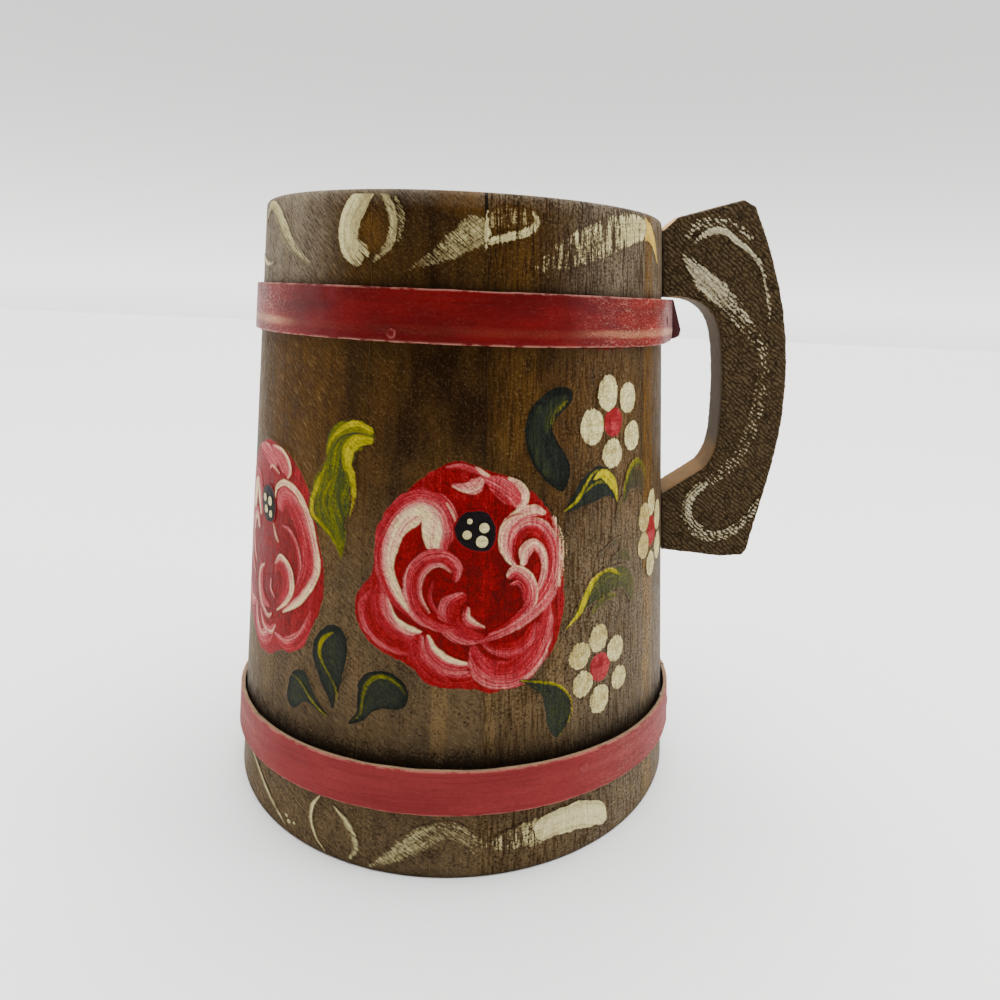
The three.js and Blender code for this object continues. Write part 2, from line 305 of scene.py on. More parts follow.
def newTree(name, extras):
    tree = bpy.data.node_groups.new(name, "GeometryNodeTree")
    tree.interface.new_socket("Geometry", in_out="INPUT", socket_type="NodeSocketGeometry")
    for label, kind in extras:
        tree.interface.new_socket(label, in_out="INPUT", socket_type="NodeSocket" + kind)
    tree.interface.new_socket("Geometry", in_out="OUTPUT", socket_type="NodeSocketGeometry")
    return tree, put(tree, "NodeGroupInput")


taperInputs = [("Axis X", "Float"), ("Axis Y", "Float"), ("Foot Radius", "Float"), ("Taper", "Float"),
               ("Drawing Radius", "Float"), ("Material", "Material"), ("Second Material", "Material")]


def bentRound(tree, given, geometry):
    place = put(tree, "ShaderNodeSeparateXYZ", {0: put(tree, "GeometryNodeInputPosition").outputs[0]})
    turn = calc(tree, "DIVIDE", place.outputs["X"], given.outputs["Drawing Radius"])
    lean = times(tree, place.outputs["Y"], given.outputs["Taper"])
    wall = calc(tree, "SUBTRACT", given.outputs["Foot Radius"], lean)
    radius = calc(tree, "ADD", wall, place.outputs["Z"])
    x = timesPlus(tree, calc(tree, "COSINE", turn), radius, given.outputs["Axis X"])
    y = timesPlus(tree, calc(tree, "SINE", turn), radius, given.outputs["Axis Y"])
    bent = put(tree, "ShaderNodeCombineXYZ", {"X": x, "Y": y, "Z": place.outputs["Y"]}).outputs[0]
    return put(tree, "GeometryNodeSetPosition", {"Geometry": geometry, "Position": bent}).outputs[0]


def finishTree(tree, given, geometry):
    real = put(tree, "GeometryNodeRealizeInstances", {"Geometry": geometry}).outputs[0]
    first = put(tree, "GeometryNodeSetMaterial", {"Geometry": real, "Material": given.outputs["Material"]})
    bare = put(tree, "GeometryNodeInputNamedAttribute", {"Name": "second"}, data_type="BOOLEAN")
    last = put(tree, "GeometryNodeSetMaterial",
               {"Geometry": first.outputs[0], "Selection": bare.outputs["Attribute"],
                "Material": given.outputs["Second Material"]})
    put(tree, "NodeGroupOutput", {"Geometry": last.outputs[0]})


def taperTree():
    tree, given = newTree("layRoundTaper", taperInputs)
    finishTree(tree, given, bentRound(tree, given, given.outputs["Geometry"]))
    return tree


def scatterTree():
    extras = [("Shape", "Object"), ("Ragged", "Float"), ("Seed", "Float"), *taperInputs]
    tree, given = newTree("copiesRoundTaper", extras)
    shape = put(tree, "GeometryNodeObjectInfo", {"Object": given.outputs["Shape"]})
    size = put(tree, "GeometryNodeInputNamedAttribute", {"Name": "size"}, data_type="FLOAT_VECTOR")
    copies = put(tree, "GeometryNodeInstanceOnPoints",
                 {"Points": given.outputs["Geometry"], "Instance": shape.outputs["Geometry"],
                  "Scale": size.outputs["Attribute"]})
    real = put(tree, "GeometryNodeRealizeInstances", {"Geometry": copies.outputs[0]}).outputs[0]
    wobble = put(tree, "ShaderNodeTexNoise", {"W": given.outputs["Seed"], "Scale": 700.0, "Detail": 2.0},
                 noise_dimensions="4D")
    centred = put(tree, "ShaderNodeVectorMath", {0: wobble.outputs["Color"], 1: (0.5, 0.5, 0.5)},
                  operation="SUBTRACT")
    flat = put(tree, "ShaderNodeVectorMath", {0: centred.outputs[0], 1: (1, 1, 0)}, operation="MULTIPLY")
    offset = put(tree, "ShaderNodeVectorMath", {0: flat.outputs[0], "Scale": given.outputs["Ragged"]},
                 operation="SCALE")
    rough = put(tree, "GeometryNodeSetPosition", {"Geometry": real, "Offset": offset.outputs[0]})
    mapped = put(tree, "GeometryNodeStoreNamedAttribute",
                 {"Geometry": rough.outputs[0], "Name": "flat",
                  "Value": put(tree, "GeometryNodeInputPosition").outputs[0]},
                 data_type="FLOAT2", domain="CORNER")
    finishTree(tree, given, bentRound(tree, given, mapped.outputs[0]))
    return tree


layRoundTaper = taperTree()
copiesRoundTaper = scatterTree()


def plainMesh(piece):
    graph = bpy.context.evaluated_depsgraph_get()
    mesh = bpy.data.meshes.new_from_object(piece.evaluated_get(graph), preserve_all_data_layers=True,
                                           depsgraph=graph)
    piece.modifiers.clear()
    piece.data = mesh
    mesh.name = piece.name
    return piece


def runTree(piece, tree, material, second=None, **more):
    modifier = piece.modifiers.new("lay", "NODES")
    modifier.node_group = tree
    values = {
        "Axis X": axis["x"],
        "Axis Y": axis["y"],
        "Foot Radius": taper["footRadius"] * mm,
        "Taper": (taper["footRadius"] - taper["rimRadius"]) / taper["height"],
        "Drawing Radius": taper["drawingRadius"] * mm,
        "Material": material,
        "Second Material": second or material,
        **more,
    }
    for item in tree.interface.items_tree:
        if item.in_out == "INPUT" and item.name in values:
            modifier[item.identifier] = values[item.name]
    return plainMesh(piece)


def newPiece(name, places, faces, values=None, maps=None, second=None):
    mesh = bpy.data.meshes.new(name)
    mesh.from_pydata(np.asarray(places, float).reshape(-1, 3).tolist(), [], faces)
    for key, numbers in (values or {}).items():
        vector = np.ndim(numbers) == 2
        layer = mesh.attributes.new(key, "FLOAT_VECTOR" if vector else "FLOAT", "POINT")
        layer.data.foreach_set("vector" if vector else "value", np.asarray(numbers, np.float32).ravel())
    corners = np.zeros(len(mesh.loops), np.int32)
    mesh.loops.foreach_get("vertex_index", corners)
    for key, spots in (maps or {}).items():
        layer = mesh.uv_layers.new(name=key)
        layer.data.foreach_set("uv", np.asarray(spots, np.float32)[corners].ravel())
    if second is not None:
        layer = mesh.attributes.new("second", "BOOLEAN", "FACE")
        layer.data.foreach_set("value", np.asarray(second, bool))
    return addObject(name, mesh)


def gridFaces(rows, columns, closed=False, start=0):
    faces = []
    for i in range(rows - 1):
        for j in range(columns if closed else columns - 1):
            a, b = start + i * columns + j, start + i * columns + (j + 1) % columns
            faces.append((a, a + columns, b + columns, b))
    return faces


def endCaps(rows, columns):  # the two ends of a closed grid, facing outwards
    last = (rows - 1) * columns
    return [tuple(range(columns)), tuple(range(last + columns - 1, last - 1, -1))]


def turnedShape(profile, around):  # turned round the z axis, from its lowest point on it to its highest
    turn = np.linspace(0, 2 * math.pi, around, endpoint=False)
    places = [(0, 0, profile[0][1])]
    for radius, height in profile[1:-1]:
        places += [(radius * math.cos(a), radius * math.sin(a), height) for a in turn]
    places.append((0, 0, profile[-1][1]))
    faces = [(0, 1 + (i + 1) % around, 1 + i) for i in range(around)]
    for a, c, d, b in gridFaces(len(profile) - 2, around, closed=True, start=1):
        faces.append((a, b, d, c))
    top, last = len(places) - 1, len(places) - 1 - around
    faces += [(top, last + i, last + (i + 1) % around) for i in range(around)]
    return np.array(places), faces


def smoothed(piece, angle=35):
    piece.data.polygons.foreach_set("use_smooth", [True] * len(piece.data.polygons))
    piece.data.set_sharp_from_angle(angle=math.radians(angle))
    return piece


def seat(piece, slotName, *nodes):
    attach(piece, "root")
    if nodes:
        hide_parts(*nodes)
    return piece


# Soft random fields for outlines, dry brushwork and wear, the same in each run

def softNoise(x, y, seed):
    size = 256
    table = np.random.RandomState(seed).rand(size, size)
    left, low = np.floor(x).astype(int), np.floor(y).astype(int)
    across, up = x - left, y - low
    across, up = across * across * (3 - 2 * across), up * up * (3 - 2 * up)
    pick = lambda i, j: table[(left + i) % size, (low + j) % size]
    below = pick(0, 0) * (1 - across) + pick(1, 0) * across
    above = pick(0, 1) * (1 - across) + pick(1, 1) * across
    return below * (1 - up) + above * up


def smoothStep(value, low, high):
    share = np.clip((value - low) / (high - low), 0, 1)
    return share * share * (3 - 2 * share)


# Straps: where each one runs, as built

straps = {
    "upper": {"middle": 149.2, "rise": 0.0, "slack": 0.35, "gap": 8.0, "rearLift": 6.0, "frontLift": 2.0},
    "lower": {"middle": 20.4, "rise": 6.3, "slack": 0.75, "gap": 0.8, "rearLift": 0.4, "frontLift": 0.1},
    "width": 12.8,
    "thickness": 1.3,
    "fit": 0.3,
    "seamGap": 8.0,
    "endCorner": 3.0,
    "endLiftLength": 9.3,
    "frontAzimuth": -85.0,
    "slackAzimuth": -45.0,
}


def strapMiddle(strap, azimuth):
    return strap["middle"] + strap["rise"] * np.cos(np.radians(azimuth - straps["frontAzimuth"]))


def looseAt(strap, azimuth):  # how far the strap hangs off the wall
    return strap["slack"] * (1 + np.cos(np.radians(azimuth - straps["slackAzimuth"]))) / 2


# Staves

staves = {
    "shares": [32, 30, 30, 30, 30, 30, 30, 30, 27, 27, 33, 31],
    "joint": 0.015,
    "jointEase": 0.06,
    "rimRounding": 1.5,
    "footBevel": 0.8,
    "grooveHeight": 11.0,
    "grooveWidth": 5.6,
    "grooveDepth": 3.5,
    "rowStep": 2.0,
    "columnStep": 1.6,
    "tones": [0.45, 0.6, 0.35, 0.5, 0.4, 0.65, 0.55, 0.62, 0.50, 0.30, 0.48, 0.62],
    "sanded": [0.3, 0.2, 0.8, 0.7, 0.3, 0.8, 0.9, 0.95, 1.0, 0.9, 0.1, 0.15],
}


def staveBounds():
    whole = sum(staves["shares"])
    bounds = [-180 * staves["shares"][0] / whole]
    for share in staves["shares"]:
        bounds.append(bounds[-1] + 360 * share / whole)
    return np.array(bounds)


# Grime and painted shade: the wall is painted darker above and below each strap, where the strap shades it,
# most above the lower strap, and in a painted shadow along the foot
def grimeAndShadeAt(azimuth, z):
    grime = np.zeros_like(z)
    for key, reach, share in (("lower", 6.5, 1.15), ("upper", 1.6, 0.45)):
        top = strapMiddle(straps[key], azimuth) + straps["width"] / 2
        grime = np.maximum(grime, share * np.exp(-np.abs(z - top) / reach) * (z > top - 3))
        foot = top - straps["width"]
        grime = np.maximum(grime, 0.5 * np.exp(-np.abs(z - foot) / 1.4) * (z < foot + 3))
    return np.maximum(grime, 0.6 * np.exp(-z / 1.3))


def paintedSheenAt(x, z):  # painted sheen: grey, gritty light painted where light glances off the sides, the top, the lower part and the rounded rim
    top = smoothStep(z, 140, 152)
    low = smoothStep(-z, -112, -78)
    right = smoothStep(x, -84, -52) * np.maximum(0.85 * top, 0.26 + 0.18 * low)
    left = smoothStep(-x, 164 - 34 * top, 192 - 40 * top) * (0.70 + 0.12 * top)
    left *= 1 - 0.80 * smoothStep(-x, 196, 209)  # less painted sheen on the back
    # a painted highlight along the rounded rim
    worn = 0.6 * smoothStep(z, 175.6, 177.2)
    return np.clip(right + left + 0.14 * low + worn, 0, 1)


def scratchesAt(x, z):  # the sanding belt left its marks on the left, and near the foot
    left = smoothStep(-x, 112, 150)
    return np.clip(0.22 + 0.78 * left + 0.25 * smoothStep(-z, -70, -40), 0, 1)


def woodMarks(x, z, number=None):
    bounds = staveBounds()
    azimuth = np.degrees(x / taper["drawingRadius"])
    whole = (azimuth - bounds[0]) % 360 + bounds[0]
    index = np.clip(np.searchsorted(bounds, whole, side="right") - 1, 0, len(bounds) - 2)
    index = index if number is None else np.full_like(index, number)
    nearest = np.minimum(np.abs(whole - bounds[index]), np.abs(bounds[index + 1] - whole))
    nearSide = -np.abs(drawn(1) * ((azimuth + 180) % 360 - 180))
    return {
        "tone": np.array(staves["tones"])[index],
        "sanded": np.array(staves["sanded"])[index],
        "grime": grimeAndShadeAt(azimuth, z),
        "edge": np.radians(nearest) * taper["drawingRadius"],
        "sheen": paintedSheenAt(nearSide, z),
        "scratched": scratchesAt(nearSide, z),
    }


def staveRows():
    top, rounding = taper["height"], staves["rimRounding"]
    bevel = staves["footBevel"]
    low, high = staves["grooveHeight"], staves["grooveHeight"] + staves["grooveWidth"]
    rows = [(-bevel, 0.0), (-bevel * 0.3, bevel * 0.25), (0.0, bevel)]
    rows += [(0.0, z) for z in np.arange(bevel + 1.0, top - rounding - 1, staves["rowStep"])]
    rows += [(rounding * (math.cos(a) - 1), top - rounding * (1 - math.sin(a)))
             for a in np.radians((0, 25, 50, 70, 90))]
    bare = len(rows) - 2
    inner = wallAt(top)
    rows += [(-inner + rounding * (1 - math.cos(a)), top - rounding * (1 - math.sin(a)))
             for a in np.radians((90, 70, 50, 25, 0))]
    rows += [(-wallAt(z), z) for z in np.arange(top - rounding - 4, high + 2, -6)]
    rows += [(-wallAt(high), high), (-wallAt(high) + staves["grooveDepth"], high),
             (-wallAt(high) + staves["grooveDepth"], low), (-wallAt(low), low),
             (-wallAt(bevel), bevel), (-wallAt(0) + bevel, 0.0)]
    return np.array(rows), bare


def addStave(number, start, end, material, bareMaterial):
    rows, bareFrom = staveRows()
    joint, ease = staves["joint"], staves["jointEase"]
    startX, endX = drawn(start) + joint, drawn(end) - joint
    count = max(8, int((endX - startX) / staves["columnStep"]))
    inner = np.linspace(startX + 3 * ease, endX - 3 * ease, count)
    columns = np.concatenate([[startX, startX + ease * 0.4, startX + ease * 1.2], inner,
                              [endX - ease * 1.2, endX - ease * 0.4, endX]])
    sink = np.zeros(len(columns))
    sink[[0, -1]], sink[[1, -2]], sink[[2, -3]] = ease, ease * 0.45, ease * 0.1
    outside = np.arange(len(rows)) < bareFrom + 1
    lift = rows[None, :, 0] + np.where(outside[None, :], -sink[:, None], sink[:, None])
    x, z = columns[:, None] + 0 * lift, rows[None, :, 1] + 0 * lift
    marks = {key: value.ravel() for key, value in woodMarks(x, z, number).items()}
    faces = gridFaces(len(columns), len(rows), closed=True) + endCaps(len(columns), len(rows))
    second = [j >= bareFrom for _ in columns[1:] for j in range(len(rows))] + [True, True]
    flat = np.stack([x, z], -1).reshape(-1, 2) * mm
    piece = newPiece(f"turned_stave_{number + 1:02d}", np.stack([x, z, lift], -1) * mm, faces, marks,
                     {"flat": flat}, second)
    return runTree(piece, layRoundTaper, material, bareMaterial)


# The stained wood. Every shader that shows it reads the same flat map, in metres, so that paint laid
# over it can follow its ridges and pores

stainLook = {
    "dark": (0.0150, 0.0056, 0.0010),
    "middle": (0.062, 0.0285, 0.0046),
    # light: painted light, the colour the lower half is lightened towards
    "light": (0.134, 0.088, 0.041),
    "amber": (0.116, 0.052, 0.0075),
    "tan": (0.180, 0.110, 0.038),
    "dustAndGlints": (0.30, 0.205, 0.092),
    # shine and sandedShine: colours of the painted sheen, on plain and on sanded staves
    "shine": (0.215, 0.182, 0.132),
    "sandedShine": (0.300, 0.245, 0.170),
    "split": (-94.6, 174, 0.6, 7, 0.95),
    "grimeAndShadeColor": (0.0065, 0.0036, 0.0020),
    "roughness": (0.34, 0.58),
    "relief": 0.42,
    "beltTurn": -52,
    "crossTurn": 62,
    # Amber stains: centre round the body and height in mm, half width, half height, strength
    "stains": [(-101, 183, 10, 10, 0.7), (-34.6, 90, 3.8, 150, 0.95), (-58, 128, 17, 17, 0.35),
               (-104, 42, 2.0, 24, 0.6), (-91, 42, 1.4, 20, 0.4), (-127, 168, 4, 5, 0.7),
               (-74, 80, 3, 55, 0.35), (-160, 100, 4, 60, 0.4), (-146, 118, 15, 46, 0.42),
               (96, 120, 4, 60, 0.7), (150, 40, 5, 40, 0.6)],
}


def stainMask(tree, u, z, wander, stain):
    x, y, wide, high, share = stain
    away = calc(tree, "ADD", calc(tree, "SUBTRACT", u, x * mm), wander)
    sideways = calc(tree, "POWER", calc(tree, "ABSOLUTE", calc(tree, "DIVIDE", away, wide * mm)), 3.0)
    upward = calc(tree, "DIVIDE", calc(tree, "SUBTRACT", z, y * mm), high * mm)
    upward = calc(tree, "POWER", calc(tree, "ABSOLUTE", upward), 2.0)
    return spread(tree, calc(tree, "ADD", sideways, upward), 1.35, 0.45, 0.0, share)


def woodSurface(tree):
    look = stainLook
    flat = onMap(tree)
    parts = put(tree, "ShaderNodeSeparateXYZ", {0: flat})
    u, z = parts.outputs["X"], parts.outputs["Y"]
    tone, sanded = attribute(tree, "tone"), attribute(tree, "sanded")
    cloud = longNoise(tree, flat, (1, 0.35, 1), 50, 4, 0.6)
    blotch = longNoise(tree, flat, (1, 0.55, 1), 330, 4, 0.7)
    fleck = noiseAt(tree, flat, 1350, 3, 0.7)
    specks = spread(tree, noiseAt(tree, flat, 2500, 1, 0.5), 0.67, 0.76)

    # Upright pores and grain, the slanting marks of the sanding belt, and a few scratches across
    pores = longNoise(tree, flat, (1, 0.10, 1), 1200, 3, 0.65, 0.7, shift=(3, 0, 0))
    grain = longNoise(tree, flat, (1, 0.03, 1), 2600, 2, 0.6, 0.2)
    belt = longNoise(tree, flat, (1, 0.07, 1), 3500, 3, 0.7, turn=look["beltTurn"])
    scratched = times(tree, sanded, attribute(tree, "scratched"))
    cross = longNoise(tree, flat, (1, 0.06, 1), 1500, 2, 0.5, turn=look["crossTurn"])
    poreDepth = times(tree, spread(tree, pores, 0.53, 0.40), calc(tree, "SUBTRACT", 1.0, sanded))
    poreDepth = times(tree, poreDepth, spread(tree, z, 0.135, 0.152, 0.75, 1.0))

    color = blend(tree, spread(tree, cloud, 0.40, 0.60), look["dark"], look["middle"])
    color = blend(tree, spread(tree, tone, 0.3, 0.7, 0.0, 0.45), color, look["middle"])
    litFromBelow = spread(tree, z, 0.125, 0.03, 0.0, 0.66)  # the lower half is painted lighter: painted light from the bright floor
    paintedLight = times(tree, litFromBelow, spread(tree, blotch, 0.36, 0.62, 0.35, 1.0))
    color = blend(tree, paintedLight, color, look["light"])
    wander = spread(tree, longNoise(tree, flat, (1, 0.2, 1), 180, 2), 0, 1, -0.0013, 0.0013)
    stained = None
    for stain in look["stains"]:
        mask = stainMask(tree, u, z, wander, stain)
        stained = calc(tree, "MAXIMUM", stained, mask) if stained else mask
    stained = times(tree, stained, spread(tree, blotch, 0.3, 0.6, 0.35, 1.0))
    amber = blend(tree, spread(tree, z, 0.085, 0.060), look["amber"], look["tan"])
    color = blend(tree, stained, color, amber)
    color = blend(tree, times(tree, poreDepth, 0.9), color, look["dark"])

    fine = timesPlus(tree, swing(tree, grain), 0.24, 1.0)
    # flecks stand out more where the painted sheen lies and towards the foot
    loud = timesPlus(tree, attribute(tree, "sheen"), 0.4, spread(tree, z, 0.115, 0.070, 0.40, 0.82))
    fine = timesPlus(tree, swing(tree, fleck), loud, fine)
    fine = timesPlus(tree, spread(tree, blotch, 0.35, 0.65, -1, 1), 0.16, fine)
    scratch = times(tree, swing(tree, belt), scratched)
    fine = timesPlus(tree, scratch, 0.46, fine)
    color = shaded(tree, color, fine)
    # light specks and lines: dust and sanding scratches, with painted glints among the fine specks
    dustAndGlints = timesPlus(tree, specks, 0.45, spread(tree, fleck, 0.57, 0.72, 0.0, 0.40))
    belted = times(tree, spread(tree, belt, 0.57, 0.67, 0.0, 0.65), scratched)
    dustAndGlints = calc(tree, "MAXIMUM", dustAndGlints, belted)
    dustAndGlints = calc(tree, "MAXIMUM", dustAndGlints, spread(tree, cross, 0.68, 0.77, 0.0, 0.16))
    dustAndGlints = times(tree, dustAndGlints, spread(tree, cloud, 0.35, 0.6, 0.5, 1.0))
    color = blend(tree, dustAndGlints, color, look["dustAndGlints"])
    # Painted sheen: grey, gritty light painted on the grit, pores and belt marks, in the share the sheen
    # marks give, less over the stains
    gritty = timesPlus(tree, spread(tree, fleck, 0.38, 0.62), 0.95, 0.05)
    upright = times(tree, spread(tree, pores, 0.38, 0.54), gritty)
    slanting = timesPlus(tree, spread(tree, belt, 0.36, 0.56), 0.75, times(tree, gritty, 0.35))
    gritty = spread(tree, sanded, 0, 1, upright, slanting)
    paintedSheenShare = times(tree, attribute(tree, "sheen"), spread(tree, stained, 0.2, 0.8, 1.0, 0.35))
    paintedSheenShare = times(tree, paintedSheenShare, spread(tree, cloud, 0.36, 0.58, 0.62, 1.0))
    shine = blend(tree, sanded, look["shine"], look["sandedShine"])
    color = blend(tree, times(tree, gritty, paintedSheenShare), color, shine)

    # darkening: grime and painted shade by the straps and the foot, dark joints, and the split at the rim
    grit = timesPlus(tree, swing(tree, fleck), 0.55, attribute(tree, "grime"))
    grit = timesPlus(tree, spread(tree, blotch, 0.35, 0.65, -1, 1), 0.20, grit)
    joint = spread(tree, attribute(tree, "edge"), 0.45, 0.05, 0.0, 0.28)
    dirtAndShade = calc(tree, "MAXIMUM", spread(tree, grit, 0.24, 0.92, 0.0, 0.95), joint)
    dirtAndShade = calc(tree, "MAXIMUM", dirtAndShade, stainMask(tree, u, z, wander, look["split"]))
    color = blend(tree, dirtAndShade, color, look["grimeAndShadeColor"])

    flecked = spread(tree, fleck, 0.3, 0.7)
    upright = timesPlus(tree, flecked, 0.4, times(tree, spread(tree, pores, 0.34, 0.64), 0.6))
    slanting = timesPlus(tree, flecked, 0.25, times(tree, spread(tree, belt, 0.32, 0.66), 0.75))
    ridge = spread(tree, sanded, 0, 1, upright, slanting)
    rough = spread(tree, blotch, 0.3, 0.7, *look["roughness"])
    return {"color": color, "ridge": ridge, "rough": rough}


def stainedWood():
    material, tree, surface = startMaterial("stainedWood")
    wood = woodSurface(tree)
    relief = bump(tree, wood["ridge"], stainLook["relief"])
    finishMaterial(tree, surface, wood["color"], wood["rough"], 0.02, relief)
    return material


bareLook = {"pale": (0.50, 0.31, 0.14), "late": (0.30, 0.155, 0.055), "age": (0.12, 0.06, 0.022),
            "relief": 0.15}


def bareWood(name="bareWood", alongX=False):
    material, tree, surface = startMaterial(name)
    spot = onObject(tree)
    squeeze = (0.04, 1, 1) if alongX else (1, 1, 0.04)
    rings = longNoise(tree, spot, squeeze, 260, 3, 0.5, 0.5)
    fibre = longNoise(tree, spot, squeeze, 1800, 2, 0.6)
    worn = noiseAt(tree, spot, 45, 3)
    color = blend(tree, spread(tree, rings, 0.42, 0.66), bareLook["pale"], bareLook["late"])
    color = blend(tree, spread(tree, fibre, 0.3, 0.7, 0.0, 0.35), color, bareLook["late"])
    color = blend(tree, spread(tree, worn, 0.45, 0.75, 0.05, 0.55), color, bareLook["age"])
    rough = spread(tree, fibre, 0.3, 0.7, 0.55, 0.75)
    finishMaterial(tree, surface, color, rough, 0.3, bump(tree, fibre, bareLook["relief"], 0.7))
    return material


stainedWoodFinish = stainedWood()
bareWoodFinish = bareWood()


dowelHoles = {"nodes": ["handle_dowel_upper", "handle_dowel_lower"], "fit": 0.2, "past": 5.0, "around": 48}


def cutHoles(piece):
    around = dowelHoles["around"]
    for node in dowelHoles["nodes"]:
        low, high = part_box(node)
        middle = (low + high) / 2
        radius = (high.z - low.z) / 2 + dowelHoles["fit"] * mm
        turn = np.linspace(0, 2 * math.pi, around, endpoint=False)
        ring = [(math.cos(a) * radius, math.sin(a) * radius) for a in turn]
        ends = [low.x - dowelHoles["past"] * mm, high.x + dowelHoles["past"] * mm]
        places = [(x, middle.y + a, middle.z + b) for x in ends for a, b in ring]
        faces = [(i, (i + 1) % around, around + (i + 1) % around, around + i) for i in range(around)]
        faces += [tuple(range(around - 1, -1, -1)), tuple(range(around, 2 * around))]
        drill = newPiece("drill", places, faces)
        cut = piece.modifiers.new("hole", "BOOLEAN")
        cut.operation, cut.solver, cut.object = "DIFFERENCE", "EXACT", drill
        plainMesh(piece)
        bpy.data.objects.remove(drill)


def addStaves():
    bounds = staveBounds()
    for number, (start, end) in enumerate(zip(bounds[:-1], bounds[1:])):
        turn = 360 if start > 150 else 0  # the near side is drawn with negative azimuths
        piece = addStave(number, start - turn, end - turn, stainedWoodFinish, bareWoodFinish)
        if number == 0:
            cutHoles(piece)
        smoothed(piece, 30)
        seat(piece, "stained_wood", f"stave_{number + 1:02d}")


addStaves()
print("staves turned")


# Straps: a painted band with raw cut edges, ends butted in the finger opening

strapLook = {
    "step": 0.9,
    "ease": 0.3,
    "edgeWave": 0.12,
    "surfaceWave": 0.10,
    "rows": 15,
    "rearCurl": 0.55,
    "cutRelief": 0.2,
}


def strapPaint(name, look):
    material, tree, surface = startMaterial(name)
    flat = onMap(tree)
    height = put(tree, "ShaderNodeSeparateXYZ", {0: flat}).outputs["Y"]
    cloud = longNoise(tree, flat, (0.3, 1, 1), 130, 4, 0.6)
    streaks = longNoise(tree, flat, (0.04, 1, 1), 1300, 3, 0.65)
    grain = longNoise(tree, flat, (0.6, 1, 1), look["grit"], 3, 0.7)
    creased = longNoise(tree, flat, (0.28, 1, 1), 2600, 3, 0.65, 0.6, turn=14)
    crossed = longNoise(tree, flat, (0.30, 1, 1), 2200, 3, 0.65, 0.5, turn=-22, shift=(1, 0, 0))
    crinkle = attribute(tree, "crinkle")
    color = blend(tree, spread(tree, cloud, 0.3, 0.7), look["deep"], look["bright"])
    # the strap's sides painted lighter: painted sheen, over the crinkles
    sideSheen = times(tree, crinkle, spread(tree, cloud, 0.35, 0.6, 0.3 * look["sideSheenShare"], look["sideSheenShare"]))
    color = blend(tree, sideSheen, color, look["sideSheen"])
    color = blend(tree, spread(tree, streaks, 0.50, 0.78, 0.0, look["streaks"]), color, look["dark"])
    pebbled = timesPlus(tree, crinkle, 0.7 * look["grain"], 0.3 * look["grain"])
    fine = timesPlus(tree, swing(tree, grain), pebbled, 1.0)
    color = shaded(tree, color, fine)
    # a lighter band along the strap: a painted reflection, strongest at its sides
    wander = spread(tree, longNoise(tree, flat, (0.1, 1, 1), 200, 2), 0.3, 0.7, -0.0004, 0.0004)
    away = calc(tree, "ADD", calc(tree, "SUBTRACT", height, look["reflectionAt"] * mm), wander)
    band = spread(tree, calc(tree, "ABSOLUTE", away), look["reflectionHalf"] * mm, look["reflectionHalf"] * 0.3 * mm)
    patchy = spread(tree, longNoise(tree, flat, (0.15, 1, 1), 210, 3), 0.30, 0.52)
    gritty = spread(tree, grain, 0.3, 0.62, 0.35, 1.0)
    paintedLight = times(tree, times(tree, band, times(tree, patchy, gritty)), attribute(tree, "wear"))
    color = blend(tree, times(tree, paintedLight, look["worn"]), color, look["paintedLight"])
    # light crackle lines on the crinkles: painted glints, drawn in the edge colour
    lines = calc(tree, "MAXIMUM", spread(tree, creased, 0.55, 0.64), spread(tree, crossed, 0.59, 0.68))
    patches = longNoise(tree, flat, (0.6, 1, 1), 230, 3, 0.6, turn=20)
    lines = times(tree, lines, spread(tree, patches, 0.42, 0.60, 0.30, 1.0))
    crackleGlints = times(tree, times(tree, lines, crinkle), look["crackleGlintShare"])
    color = blend(tree, crackleGlints, color, look["edge"])
    rim = spread(tree, calc(tree, "ABSOLUTE", height), 0.0058, 0.0062)
    chipped = spread(tree, longNoise(tree, flat, (0.4, 1, 1), 900, 3), 0.40, 0.54)
    chipped = times(tree, times(tree, rim, chipped), look["chips"])
    color = blend(tree, chipped, color, look["edge"])
    relief = timesPlus(tree, spread(tree, creased, 0.4, 0.68), crinkle, times(tree, streaks, 0.25))
    relief = bump(tree, timesPlus(tree, grain, 0.35, relief), look["relief"], 0.9)
    rough = spread(tree, grain, 0.3, 0.7, *look["gloss"])
    finishMaterial(tree, surface, color, rough, look["shine"], relief)
    return material


# strap paint: the lighter band (its colour, height, half width and worn strength) is a painted reflection,
# the lighter sides are painted sheen, and the crackle share sets painted glints in the edge colour, which
# also marks the chipped edges
upperPaintLook = {
    "deep": (0.050, 0.0012, 0.0016), "bright": (0.118, 0.0024, 0.0030), "dark": (0.030, 0.0008, 0.0011),
    "paintedLight": (0.60, 0.31, 0.15), "edge": (0.64, 0.31, 0.23), "streaks": 0.4, "reflectionAt": -3.1,
    "reflectionHalf": 1.35, "worn": 0.92, "chips": 0.30, "crackleGlintShare": 0.76, "gloss": (0.26, 0.42), "shine": 0.07,
    "grain": 0.18, "relief": 0.26, "sideSheen": (0.28, 0.012, 0.009), "sideSheenShare": 0.60, "grit": 1900,
}
lowerPaintLook = {
    "deep": (0.150, 0.0135, 0.0150), "bright": (0.205, 0.021, 0.022), "dark": (0.070, 0.006, 0.007),
    "paintedLight": (0.44, 0.11, 0.10), "edge": (0.50, 0.20, 0.14), "streaks": 0.55, "reflectionAt": 1.5, "reflectionHalf": 1.8,
    "worn": 0.22, "chips": 0.35, "crackleGlintShare": 0.50, "gloss": (0.42, 0.62), "shine": 0.06, "grain": 0.46,
    "relief": 0.26, "sideSheen": (0.30, 0.078, 0.070), "sideSheenShare": 0.35, "grit": 1250,
}


